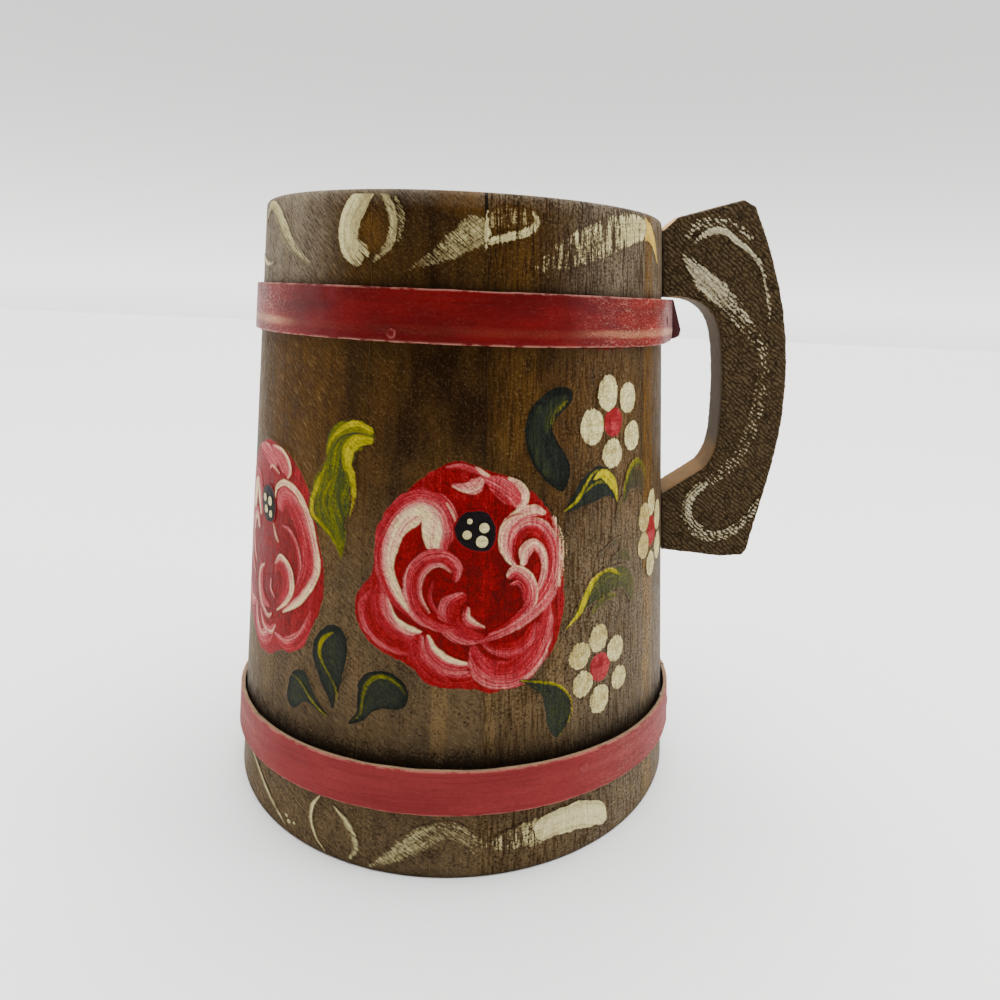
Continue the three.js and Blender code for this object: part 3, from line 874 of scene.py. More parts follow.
def rawEdge(name, color, dark, shadedBack):
    material, tree, surface = startMaterial(name)
    spot = onObject(tree)
    flat = onMap(tree)
    height = put(tree, "ShaderNodeSeparateXYZ", {0: flat}).outputs["Y"]
    fibre = noiseAt(tree, spot, 1100, 4, 0.7)
    mixed = blend(tree, spread(tree, fibre, 0.35, 0.65), color, dark)
    # the back face, against the wall, is painted dark: painted shade between strap and body
    inner = spread(tree, calc(tree, "ABSOLUTE", height), 0.00632, 0.00618)
    mixed = blend(tree, inner, mixed, shadedBack)
    finishMaterial(tree, surface, mixed, 0.8, 0.5, bump(tree, fibre, strapLook["cutRelief"], 0.9))
    return material


def addStrap(name, strap, paint, raw):
    thick, ease, radius = straps["thickness"], strapLook["ease"], outerRadius(strap["middle"])
    half = math.degrees(strap["gap"] / 2 / radius)
    count = int(2 * math.pi * taper["drawingRadius"] / strapLook["step"])
    ends = np.linspace(0, math.degrees(straps["endCorner"] / radius), 8)[:-1]
    azimuth = np.linspace(half, 360 - half, count)
    azimuth = np.unique(np.concatenate([half + ends, azimuth, 360 - half - ends]))
    fromEnd = np.minimum(azimuth, 360 - azimuth) - half
    distance = np.radians(np.maximum(fromEnd, 0)) * radius
    near = np.maximum(0, 1 - distance / straps["endLiftLength"])
    lift = np.where(azimuth < 180, strap["rearLift"], strap["frontLift"]) * near ** 2
    curled = np.where(azimuth < 180, strapLook["rearCurl"], 0.0)
    inset = np.maximum(0, straps["endCorner"] - distance)
    low = straps["width"] / 2 - straps["endCorner"] + np.sqrt(straps["endCorner"] ** 2 - inset ** 2)
    x = np.radians(azimuth) * taper["drawingRadius"]
    calm = smoothStep(distance, 0, 6)
    waveLow = (softNoise(x / 5, x * 0, 5) - 0.5) * 2 * strapLook["edgeWave"] * calm
    waveTop = (softNoise(x / 6, x * 0, 6) - 0.5) * 2 * strapLook["edgeWave"] * calm
    up = straps["width"] / 2 + np.minimum(waveTop, 0)
    down = -low + np.maximum(waveLow, 0)
    # height, distance out and whether it is cut: the painted face upwards, then round the back of the strap
    loops = [(share * (up - down) + down, thick, False) for share in np.linspace(0, 1, strapLook["rows"])]
    loops[0], loops[-1] = (down + ease, thick, False), (up - ease, thick, False)
    loops += [(up - ease * 0.3, thick - ease * 0.3, False), (up, thick - ease, True),
              (up, thick * 0.35, True), (up - 0.1, 0.0, True),
              (down + 0.1, 0.0, True), (down, thick * 0.35, True),
              (down, thick - ease, False), (down + ease * 0.3, thick - ease * 0.3, False)]
    across = np.arcsin(np.sin(np.radians(azimuth + 85)))  # 0 in front and behind, 90 degrees at the sides
    sideways = smoothStep(np.degrees(across), 22, 52) + smoothStep(-np.degrees(across), 40, 60)
    grid, flatMap = [], []
    for height, out, _ in loops:
        wave = (softNoise(x / 4.0, height / 5 + 9, 8) - 0.5) * 2 * strapLook["surfaceWave"] * calm
        wave = np.minimum(wave, 0) * (out > thick * 0.9)
        curl = lift * (0.92 - curled * height / straps["width"])  # the rear end stands out most at its foot
        off = straps["fit"] + looseAt(strap, azimuth) + curl + out + wave
        grid.append(np.stack([x, strapMiddle(strap, azimuth) + height, off], -1))
        flatMap.append(np.stack([x, height], -1))
    rows = len(loops)
    # at the strap's sides, left and right as seen from the front, lie the crinkles, the painted sheen and the
    # painted reflection band
    marks = {"wear": np.repeat(0.03 + 0.97 * sideways, rows),
             "crinkle": np.repeat(0.04 + 0.96 * sideways, rows)}
    faces = gridFaces(len(x), rows, closed=True) + endCaps(len(x), rows)
    second = [isCut for _ in x[1:] for _, _, isCut in loops] + [True, True]
    flat = np.stack(flatMap, 1).reshape(-1, 2) * mm
    piece = newPiece(name, np.stack(grid, 1) * mm, faces, marks, {"flat": flat}, second)
    runTree(piece, layRoundTaper, paint, raw)
    return smoothed(piece, 50)


upperRaw = rawEdge("upperCutEdge", (0.34, 0.17, 0.11), (0.19, 0.035, 0.03), (0.070, 0.006, 0.008))
lowerRaw = rawEdge("lowerCutEdge", (0.26, 0.165, 0.085), (0.14, 0.075, 0.035), (0.030, 0.016, 0.009))
upperStrap = addStrap("upper_strap", straps["upper"], strapPaint("upperStrapPaint", upperPaintLook), upperRaw)
lowerStrap = addStrap("lower_strap", straps["lower"], strapPaint("lowerStrapPaint", lowerPaintLook), lowerRaw)
seat(upperStrap, "gloss_red_strap", "upper_hoop")
seat(lowerStrap, "worn_red_strap", "lower_hoop")
print("straps laid")


# Brushwork. Each stroke is a ribbon through given points: (round, height, half width) in mm. Its film
# is a margin wider than the stroke, and its material shows paint only where the brush would leave it

brush = {"cell": 0.6, "margin": 0.35, "film": 0.10, "layer": 0.005, "topEdge": 176.7, "footEdge": 0.9}
bare = -1.0  # a shade that stands for bare wood
canvas = {"cell": 0.4, "left": -222.0, "columns": 1110, "rows": 450}


def curved(points, closed=False, step=0.5):
    knots = np.array(points, float)
    if closed:
        knots = np.vstack([knots[-1:], knots, knots[:2]])
    else:
        knots = np.vstack([2 * knots[:1] - knots[1:2], knots, 2 * knots[-1:] - knots[-2:-1]])
    perSpan = 24
    t = np.linspace(0, 1, perSpan, endpoint=False)[:, None]
    runs = []
    for a, b, c, d in zip(knots[:-3], knots[1:-2], knots[2:-1], knots[3:]):
        runs.append(0.5 * (2 * b + (c - a) * t + (2 * a - 5 * b + 4 * c - d) * t ** 2
                           + (3 * b - a - 3 * c + d) * t ** 3))
    path = np.vstack(runs + [knots[-2:-1]])
    length = np.concatenate([[0], np.cumsum(np.linalg.norm(np.diff(path[:, :2], axis=0), axis=1))])
    count = max(6, int(length[-1] / step))
    stops = np.linspace(0, length[-1], count + 1)
    return np.stack([np.interp(stops, length, path[:, k]) for k in range(path.shape[1])], -1)


def roundedEnds(path):
    ends = []
    for first, second in ((path[0], path[1]), (path[-1], path[-2])):
        out = (first[:2] - second[:2]) / (np.linalg.norm(first[:2] - second[:2]) + 1e-9)
        half = max(first[2], 0.02)
        turn = np.radians(np.arange(15, 90, 25))
        rows = [[*(first[:2] + out * 0.55 * half * math.sin(a)), half * math.cos(a)] for a in turn]
        rows.append([*(first[:2] + out * (0.55 * half + brush["margin"])), 0.0])
        ends.append(np.array(rows))
    return np.vstack([ends[0][::-1], path, ends[1]])


def mirroredPoints(points, mirror):
    return [(-point[0], *point[1:]) for point in points] if mirror else points


def newSheet(seed, mirror=False):
    return {"canvas": np.full((canvas["columns"], canvas["rows"]), bare), "seed": seed, "mirror": mirror,
            "count": 0, "layer": 0, "places": [], "faces": [], "stroke": [],
            "marks": {"shade": [], "under": [], "cover": [], "dry": []}}


def addCells(sheet, spots, stroke, **marks):
    n, m = spots.shape[:2]
    sheet["faces"] += gridFaces(n, m, start=sheet["count"])
    lift = np.full((n, m, 1), brush["film"] + brush["layer"] * sheet["layer"])
    sheet["places"].append(np.concatenate([spots, lift], -1).reshape(-1, 3))
    sheet["stroke"].append(stroke.reshape(-1, 2))
    for key, value in marks.items():
        sheet["marks"][key].append(np.ravel(value + np.zeros((n, m))))
    sheet["count"] += n * m


def canvasSpots(spots):
    x = np.clip(((spots[..., 0] - canvas["left"]) / canvas["cell"]).astype(int), 0, canvas["columns"] - 1)
    y = np.clip((spots[..., 1] / canvas["cell"]).astype(int), 0, canvas["rows"] - 1)
    return x, y


def denser(grid, finer=3):
    for _ in range(2):
        stops = np.linspace(0, len(grid) - 1, finer * len(grid))
        low = np.minimum(stops.astype(int), len(grid) - 2)
        share = (stops - low).reshape(-1, *[1] * (grid.ndim - 1))
        grid = (grid[low] * (1 - share) + grid[low + 1] * share).swapaxes(0, 1)
    return grid


def shadeBelow(sheet, spots, shade, cover):
    # what the canvas shows under these spots; the new paint is then added to it
    x, y = canvasSpots(spots)
    below = sheet["canvas"][x, y]
    stack = denser(np.concatenate([spots, (shade + 0 * cover)[..., None], cover[..., None]], -1))
    x, y = canvasSpots(stack[..., :2])
    old = sheet["canvas"][x, y]
    solid = smoothStep(stack[..., 3], 0.25, 0.75)
    mixed = np.where(old < -0.5, np.where(solid > 0.5, stack[..., 2], bare),
                     old * (1 - solid) + stack[..., 2] * solid)
    sheet["canvas"][x, y] = mixed
    return below


def coverFrom(inset):
    return np.clip(inset / (2 * brush["margin"]), 0, 1)


def drynessAt(share, dry):
    return np.interp(share, np.linspace(0, 1, np.size(dry)), np.ravel(dry))


def sweep(sheet, points, left, right=None, edge=0.5, soft=0.3, fade=0.0, dry=0.0, ragged=0.10):
    right = left if right is None else right
    points = mirroredPoints(points, sheet["mirror"])
    sheet["layer"] += 1
    number = sheet["seed"] * 100 + sheet["layer"]
    path = roundedEnds(curved(points, step=brush["cell"]))
    stops = np.concatenate([[0], np.cumsum(np.linalg.norm(np.diff(path[:, :2], axis=0), axis=1))])
    tangent = np.gradient(path[:, :2], stops + np.arange(len(stops)) * 1e-6, axis=0)
    tangent /= np.linalg.norm(tangent, axis=1)[:, None] + 1e-9
    normal = np.stack([-tangent[:, 1], tangent[:, 0]], -1)
    turn = np.cross(tangent, np.gradient(tangent, stops + np.arange(len(stops)) * 1e-6, axis=0))
    turn = np.convolve(np.pad(turn, 3, "edge"), np.ones(7) / 7, "valid")
    half = np.maximum(path[:, 2], 0.0)
    wobble = lambda shift: 1 + ragged * (softNoise(stops / 1.6 + shift, stops * 0, number) - 0.5) * 2
    leftHalf, rightHalf = half * wobble(0) + brush["margin"], half * wobble(40) + brush["margin"]
    leftHalf = np.minimum(leftHalf, np.where(turn > 0, 0.92 / np.maximum(turn, 1e-6), 99))
    rightHalf = np.minimum(rightHalf, np.where(turn < 0, 0.92 / np.maximum(-turn, 1e-6), 99))
    columns = max(4, int(2 * np.max(leftHalf) / brush["cell"]))
    v = np.linspace(-1, 1, columns + 1)[None, :]
    reach = np.where(v > 0, leftHalf[:, None], rightHalf[:, None]) * v
    spots = path[:, None, :2] + normal[:, None, :] * reach[:, :, None]
    inset = np.where(v > 0, leftHalf[:, None], rightHalf[:, None]) * (1 - np.abs(v))
    fromEnd = np.minimum(stops, stops[-1] - stops)[:, None]
    share = (stops / stops[-1])[:, None]
    dryness = 0.9 * drynessAt(share, dry) ** 0.65
    cross = smoothStep((v + 1) / 2, edge - soft, edge + soft)
    shade = right + (left - right) * cross - fade * share ** 1.5
    stroke = np.stack([stops[:, None] + number * 7.3 + 0 * reach, reach], -1)
    shade = np.clip(shade, 0, 1.3) + 0 * reach
    cover = coverFrom(np.minimum(inset, fromEnd)) * (1 - dryness)
    under = shadeBelow(sheet, spots, shade, cover)
    addCells(sheet, spots, stroke, shade=shade, under=under, cover=cover,
             dry=np.clip(0.16 + 1.7 * dryness, 0, 1))


def fill(sheet, outline, centre, shade=0.1, rimShade=None, ragged=0.5, dry=0.04, under=None):
    outline = mirroredPoints(outline, sheet["mirror"])
    centre = mirroredPoints([centre], sheet["mirror"])[0]
    rim = curved([(*point, 0) for point in outline], closed=True, step=0.8)[:-1, :2]
    sheet["layer"] += 1
    number = sheet["seed"] * 100 + sheet["layer"]
    away = rim - np.array(centre)
    angle = np.unwrap(np.arctan2(away[:, 1], away[:, 0]))
    away = away[::-1] if angle[-1] < angle[0] else away
    long = np.linalg.norm(away, axis=1)
    rough = ragged * (softNoise(rim[:, 0] / 0.9, rim[:, 1] / 0.9, number) - 0.5)
    away = away * ((long + rough + brush["margin"]) / long)[:, None]
    around = np.vstack([away, away[:1]])
    long = np.linalg.norm(around, axis=1)
    rings = max(5, int(np.max(long) / 1.0))
    near = np.array([0.012, 0.3, 0.6, 0.9])
    share = np.unique(np.concatenate([np.linspace(0.004, 0.86, rings), 1 - 0.14 * near[::-1] * 0.9, [1.0]]))
    spots = np.array(centre) + share[:, None, None] * around[None]
    inset = (1 - share[:, None]) * long[None, :]
    rimShade = shade if rimShade is None else rimShade
    tint = shade + (rimShade - shade) * smoothStep(share, 0.55, 1.0)[:, None]
    longWay = np.linalg.eigh(np.cov((rim - rim.mean(axis=0)).T))[1][:, ::-1]
    stroke = (spots - np.array(centre)) @ longWay + [number * 7.3, 0]
    cover = coverFrom(inset) * (1 - dry)
    tint = tint + 0 * inset
    below = shadeBelow(sheet, spots, tint, cover)
    under = below if under is None else under
    addCells(sheet, spots, stroke, shade=tint, under=under, cover=cover, dry=0.16 + 1.7 * dry)


def paintStrokes(sheet, strokes):
    for points, left, right, more in strokes:
        if sheet["mirror"]:  # in a mirror the two sides of a stroke change places
            left, right, more = right, left, {**more, "edge": 1 - more.get("edge", 0.5)}
        sweep(sheet, points, left, right, **more)


def paintedPiece(sheet, name, material, slotName, ground=None):
    places = np.vstack(sheet["places"])
    faces = sheet["faces"]
    marks = {key: np.concatenate(value) for key, value in sheet["marks"].items()}
    if ground is None:
        places[:, 1] = np.clip(places[:, 1], brush["footEdge"], brush["topEdge"])
        marks.update(woodMarks(places[:, 0], places[:, 1]))
    else:
        onto = [lies(ground, place) for place in places]
        faces = [face for face in faces if all(onto[i] for i in face)]
    used = np.unique(np.array(faces))
    fresh = np.full(len(places), -1)
    fresh[used] = np.arange(len(used))
    faces = fresh[np.array(faces)].tolist()
    maps = {"flat": places[used, :2] * mm, "stroke": np.vstack(sheet["stroke"])[used] * mm}
    piece = newPiece(name, places[used] * mm, faces, {key: value[used] for key, value in marks.items()}, maps)
    if ground is None:
        runTree(piece, layRoundTaper, material)
    else:
        piece.data.transform(handlePlane)
        piece.data.materials.append(material)
    smoothed(piece, 60)
    return seat(piece, slotName)


paintBase = {"calm": 0.0, "hairy": 0.12, "shine": 0.03, "relief": 0.30}


def paintMaterial(name, stops, look, ground=woodSurface):
    look = {**paintBase, **look}
    material, tree, surface = startMaterial(name)
    stroke = onMap(tree, "stroke")
    spot = onObject(tree)
    bristles = longNoise(tree, stroke, (0.035, 1, 1), look["bristles"], 3, 0.7, 0.25)
    hairs = longNoise(tree, stroke, (0.02, 1, 1), 3300, 1, 0.6)
    broad = longNoise(tree, stroke, (0.07, 1, 1), look["bristles"] * 0.35, 2, 0.5, 0.2)
    mottle = noiseAt(tree, spot, 420, 3, 0.65)
    fleck = noiseAt(tree, spot, 1900, 3, 0.75)
    shade = calc(tree, "ADD", attribute(tree, "shade"), attribute(tree, "tint"))
    pull = spread(tree, shade, look["calm"], look["calm"] + 0.3, look["pull"] * 0.2, look["pull"])
    streaks = timesPlus(tree, swing(tree, hairs), 0.6, swing(tree, bristles))
    streaks = timesPlus(tree, swing(tree, broad), 0.9, streaks)
    shade = timesPlus(tree, streaks, pull, shade)
    shade = calc(tree, "ADD", shade, spread(tree, mottle, 0.3, 0.7, -look["mottle"], look["mottle"]))
    shade = calc(tree, "ADD", shade, spread(tree, fleck, 0.3, 0.7, -look["speck"], look["speck"]))
    color = ramp(tree, shade, stops)
    wood = ground(tree)
    under = attribute(tree, "under")
    below = blend(tree, spread(tree, under, -0.5, -0.2), wood["color"], ramp(tree, under, stops))
    fine = timesPlus(tree, swing(tree, fleck), look["grain"], 1.0)
    fine = timesPlus(tree, spread(tree, wood["ridge"], 0.2, 0.8, -1, 1), look["grain"], fine)
    color = shaded(tree, color, fine)
    dry = attribute(tree, "dry")
    hairy = spread(tree, bristles, 0.3, 0.7)
    field = timesPlus(tree, hairy, look["hairy"], times(tree, wood["ridge"], 1 - look["hairy"]))
    caught = timesPlus(tree, calc(tree, "SUBTRACT", field, 0.5), times(tree, dry, 1.5),
                       attribute(tree, "cover"))
    wet = spread(tree, under, -0.5, -0.2)  # paint on paint blends, paint on wood ends sharply
    mask = spread(tree, caught, spread(tree, wet, 0, 1, 0.40, 0.12), spread(tree, wet, 0, 1, 0.60, 0.80))
    solid = times(tree, mask, spread(tree, dry, 0.2, 1.0, 1.0, look["thin"]))
    color = blend(tree, solid, below, color)
    gloss = spread(tree, mottle, 0.3, 0.7, *look["gloss"])
    rough = spread(tree, solid, 0, 1, wood["rough"], gloss)
    painted = timesPlus(tree, wood["ridge"], 0.35, timesPlus(tree, hairy, 0.30, 0.55))
    relief = bump(tree, spread(tree, solid, 0, 1, wood["ridge"], painted), look["relief"], 0.9)
    finishMaterial(tree, surface, color, rough, look["shine"], relief)
    return material


rosePaint = paintMaterial("rosePaint", [
    (0.0, (0.070, 0.0008, 0.0012)), (0.14, (0.168, 0.0016, 0.0026)), (0.34, (0.250, 0.012, 0.018)),
    (0.56, (0.335, 0.058, 0.062)), (0.78, (0.44, 0.175, 0.14)), (1.0, (0.575, 0.44, 0.225)),
], {"bristles": 1500, "pull": 0.20, "calm": 0.10, "mottle": 0.05, "speck": 0.070, "grain": 0.36, "thin": 0.8,
    "gloss": (0.34, 0.5)})
leafPaint = paintMaterial("leafPaint", [
    (0.0, (0.0030, 0.0040, 0.0028)), (0.25, (0.0140, 0.0170, 0.0125)), (0.45, (0.030, 0.037, 0.0065)),
    (0.65, (0.098, 0.095, 0.0010)), (0.85, (0.225, 0.190, 0.0004)), (1.0, (0.325, 0.270, 0.0004)),
], {"bristles": 1400, "pull": 0.13, "calm": 0.30, "mottle": 0.05, "speck": 0.08, "grain": 0.36, "thin": 0.6,
    "gloss": (0.42, 0.6)})
creamPaint = paintMaterial("creamPaint", [
    (0.0, (0.10, 0.068, 0.030)), (0.5, (0.26, 0.210, 0.092)), (0.8, (0.42, 0.365, 0.165)),
    (1.0, (0.60, 0.53, 0.27)),
], {"bristles": 1300, "pull": 0.16, "mottle": 0.12, "speck": 0.14, "grain": 0.16, "thin": 0.72,
    "gloss": (0.5, 0.7)})


# The rose that faces the viewer, with its strokes in the order of painting

frontRose = {
    "ground": [(-103, 114.5), (-99.5, 115), (-95, 113.6), (-90, 112), (-86, 110.8), (-82, 108), (-79, 105.3),
               (-76.5, 102.3), (-74.3, 99), (-72.5, 94), (-71.6, 88), (-71.5, 82), (-71.3, 76), (-72, 70.5),
               (-73.6, 65), (-76.5, 60.7), (-80, 58), (-84.5, 55.8), (-88, 54.1), (-91.5, 53.5),
               (-94.5, 54.6),
               (-98, 54.9), (-103, 55), (-107, 56.4), (-110, 59), (-112.5, 61.2), (-117, 62.9),
               (-121, 64.8),
               (-124.5, 68), (-126.7, 72.5), (-126.9, 77), (-125, 81), (-122.6, 84), (-121.8, 89),
               (-121, 95),
               (-119, 99.3), (-116.5, 103.5), (-113, 107.5), (-109.5, 110.6), (-106, 113)],
    "centre": (-97, 83),
    "strokes": [
        # a rubbed patch of the ground
        ([(-90.6, 91, 1.4), (-87, 86, 3.2), (-86.6, 80, 3.6), (-89, 75.6, 2.2),
          (-92.6, 73.2, 0.8)], 0.0, 0.0,
         {"dry": [0.3, 0.05, 0.05, 0.3], "ragged": 0.5}),
        # left lobe
        ([(-122, 80, 0.5), (-123.8, 76, 1.8), (-123, 71.5, 2.0), (-119.5, 67.5, 1.9), (-114, 65.3, 1.5),
          (-110, 64.5, 0.4)], 0.12, 0.34, {}),
        ([(-119.5, 83, 0.8), (-120.3, 78, 2.2), (-119, 73, 2.8), (-115.5, 69.6, 3.0), (-111, 68, 2.4),
          (-108.3, 68.2, 0.6)], 0.42, 0.16, {}),
        ([(-118, 81, 0.3), (-117.5, 77, 0.7), (-116.4, 73.6, 1.0), (-113.8, 71.2, 1.3), (-110.5, 70.2, 1.0),
          (-108.8, 70.4, 0.2)], 0.98, 0.6, {}),
        # lower petals
        ([(-109.5, 69, 1.2), (-109.2, 65, 2.6), (-106.5, 61, 3.7), (-102.5, 58.6, 3.4), (-98, 58.2, 2.4),
          (-94.6, 59.4, 0.5)], 0.42, 0.22, {"edge": 0.6}),
        ([(-107.2, 69.3, 0.5), (-105.8, 65.6, 1.4), (-103, 62.9, 1.6), (-99, 61.6, 1.3), (-96, 62, 0.3)],
         0.95, 0.45, {"edge": 0.55}),
        ([(-95.8, 66.5, 0.8), (-94.2, 62.2, 2.6), (-90.5, 59, 3.6), (-85.5, 58.8, 3.9), (-81, 62, 3.7),
          (-78, 67.5, 3.0), (-76.6, 73, 1.8), (-76, 78, 0.4)], 0.24, 0.5, {"edge": 0.4}),
        ([(-93.5, 68.3, 0.5), (-90, 65.9, 1.7), (-85.5, 65.4, 2.1), (-81.8, 67.8, 1.8), (-80, 72, 0.6)],
         0.14, 0.44, {"edge": 0.45}),
        ([(-96.2, 62.6, 0.4), (-94.6, 58.6, 1.0), (-91, 56.3, 1.2), (-86.5, 55.8, 0.9), (-83, 56.8, 0.3)],
         0.42, 0.6, {}),
        # middle whorl
        ([(-98.4, 80.2, 1.2), (-101.3, 78.3, 2.4), (-102.1, 74.8, 2.9), (-100.3, 71.2, 2.8),
          (-96.6, 69.3, 2.0),
          (-92.6, 69.2, 0.6)], 0.16, 0.52, {"edge": 0.4}),
        ([(-97.3, 77.2, 0.4), (-97.7, 74.7, 1.1), (-96.2, 72.9, 1.2), (-93.2, 71.8, 0.4)], 0.8, 0.35, {}),
        # big outer comma on the left
        ([(-105, 93.2, 2.3), (-104.4, 97.5, 4.0), (-106.4, 102, 4.6), (-110.6, 103, 4.3),
          (-115.2, 99.8, 3.9),
          (-118, 94.5, 3.4), (-119, 88.7, 2.8), (-117.8, 83.2, 2.3), (-115, 78.6, 1.9), (-111.6, 75, 1.2),
          (-108.4, 72.2, 0.3)], 1.02, 0.36, {"edge": 0.40, "soft": 0.22, "fade": 0.12}),
        ([(-107.4, 92.7, 0.6), (-107.6, 96.5, 1.7), (-107.6, 100.5, 2.2), (-110, 102, 1.4),
          (-112.5, 101.3, 0.5)],
         1.0, 0.92, {}),
        # inner scroll on the left
        ([(-100.6, 84.3, 0.5), (-100.4, 87.7, 1.6), (-103.2, 90, 2.0), (-107.2, 89.6, 2.3),
          (-110.4, 86.6, 2.5),
          (-111.2, 82, 2.5), (-110.2, 77.4, 2.4), (-107.6, 74, 2.0), (-103.8, 72.2, 1.4),
          (-100.4, 71.8, 0.4)],
         0.22, 0.58, {"edge": 0.45, "soft": 0.35, "fade": 0.12}),
        ([(-101.6, 86.6, 0.2), (-104.4, 88.4, 0.5), (-107.5, 87.4, 0.7), (-109.4, 84, 0.7),
          (-109.3, 79.6, 0.5),
          (-107, 75.6, 0.2)], 0.82, 0.5, {}),
        ([(-106.2, 84, 0.2), (-107, 80, 0.5), (-105.6, 76.5, 0.5), (-102.8, 73.8, 0.2)], 0.5, 0.2, {}),
        # right hand petals
        ([(-86.2, 90.6, 0.7), (-85.7, 95, 2.0), (-83, 98, 2.2), (-79.2, 97.6, 2.3), (-76, 93.6, 2.3),
          (-75.1, 88.4, 2.2), (-76, 83.4, 2.0), (-79, 78.4, 1.7), (-83.4, 74.3, 1.3), (-88.4, 71.2, 0.9),
          (-93, 69, 0.2)], 0.66, 0.2, {"edge": 0.55, "soft": 0.35}),
        ([(-77.5, 101.2, 0.5), (-80.6, 102, 1.5), (-84.6, 100.6, 2.0), (-87.6, 97.4, 1.9),
          (-88.3, 93.2, 1.4),
          (-86.9, 89.8, 0.9), (-85, 87.6, 0.3)], 0.68, 1.0, {"edge": 0.35}),
        ([(-83.2, 88.3, 0.8), (-82.6, 91.6, 1.7), (-80.4, 93.2, 1.4), (-78.3, 91.4, 1.1), (-77.3, 88, 1.0),
          (-77.7, 84, 0.9), (-79.4, 80.4, 0.6), (-82.2, 77.4, 0.2)], 0.96, 0.74, {"fade": 0.3}),
        ([(-87, 85.2, 0.9), (-85.2, 86.4, 1.6), (-82.4, 84.6, 1.7), (-80.8, 81.2, 1.6), (-81.2, 77.6, 1.4),
          (-83.6, 74.6, 1.1), (-87.4, 71.9, 0.7),
          (-91.8, 70.2, 0.2)], 0.96, 0.40, {"edge": 0.58, "fade": 0.25}),
        ([(-86.4, 83, 0.3), (-84.4, 83.6, 0.8), (-82.9, 81.5, 0.8), (-83, 78.6, 0.3)], 0.42, 0.3, {}),
        ([(-73, 84.4, 0.3), (-74.6, 80, 1.0), (-78.4, 75.8, 1.1), (-83.6, 72.2, 0.9), (-89, 69.6, 0.6),
          (-94.4, 67.8, 0.2)], 0.72, 0.6, {"fade": 0.3}),
        ([(-75.6, 100.6, 0.5), (-73.4, 96.2, 0.9), (-72.2, 91, 1.1), (-72.3, 86, 1.0), (-73.4, 81.4, 0.5)],
         0.98, 0.8, {"dry": [0.25, 0.45, 0.5, 0.3]}),
        # crown petals
        ([(-101.8, 108.7, 0.3), (-98.8, 108.2, 1.2), (-96, 108.8, 1.9),
          (-94.4, 110.6, 0.8)], 0.55, 0.8, {}),
        ([(-93.4, 110.6, 0.8), (-89.6, 108.6, 2.6), (-86.4, 106.2, 3.0), (-84.8, 104.2, 1.5)], 0.4, 0.46,
         {"edge": 0.7}),
        ([(-87.6, 110.6, 0.4), (-84.6, 109, 0.9), (-83, 106.6, 1.1), (-83.4, 104.2, 0.8),
          (-85.2, 103.2, 0.2)],
         1.0, 0.75, {}),
        ([(-103.4, 113.2, 0.2), (-99.6, 113.6, 0.6), (-96, 112.4, 0.5), (-93, 111, 0.2)], 0.6, 0.4, {}),
        ([(-96, 113.4, 0.2), (-94, 111.8, 0.5), (-92.6, 111.2, 0.2)], 0.95, 0.8, {}),
        ([(-103.2, 104.2, 0.1), (-101.8, 102, 0.3), (-100.9, 99.8, 0.1)], 0.85, 0.8, {}),
        ([(-88.4, 99.6, 0.1), (-86.6, 101, 0.25), (-84, 101.6, 0.1)], 0.1, 0.1, {}),
    ],
    "seed": [(-96.4, 102.4), (-93, 101.9), (-91, 99.2), (-90.7, 95.6), (-91.9, 92.4), (-94.6, 91.9),
             (-98, 93), (-100.6, 95.4), (-101, 98.4), (-99.4, 101.4)],
    "seedCentre": (-95.9, 97.2),
    "dots": [(-97.3, 99.8, 0.7), (-93.6, 98.1, 1.3), (-97.9, 96.3, 1.15), (-94.1, 94.6, 1.55)],
}

# The rose on the left, seen edge on

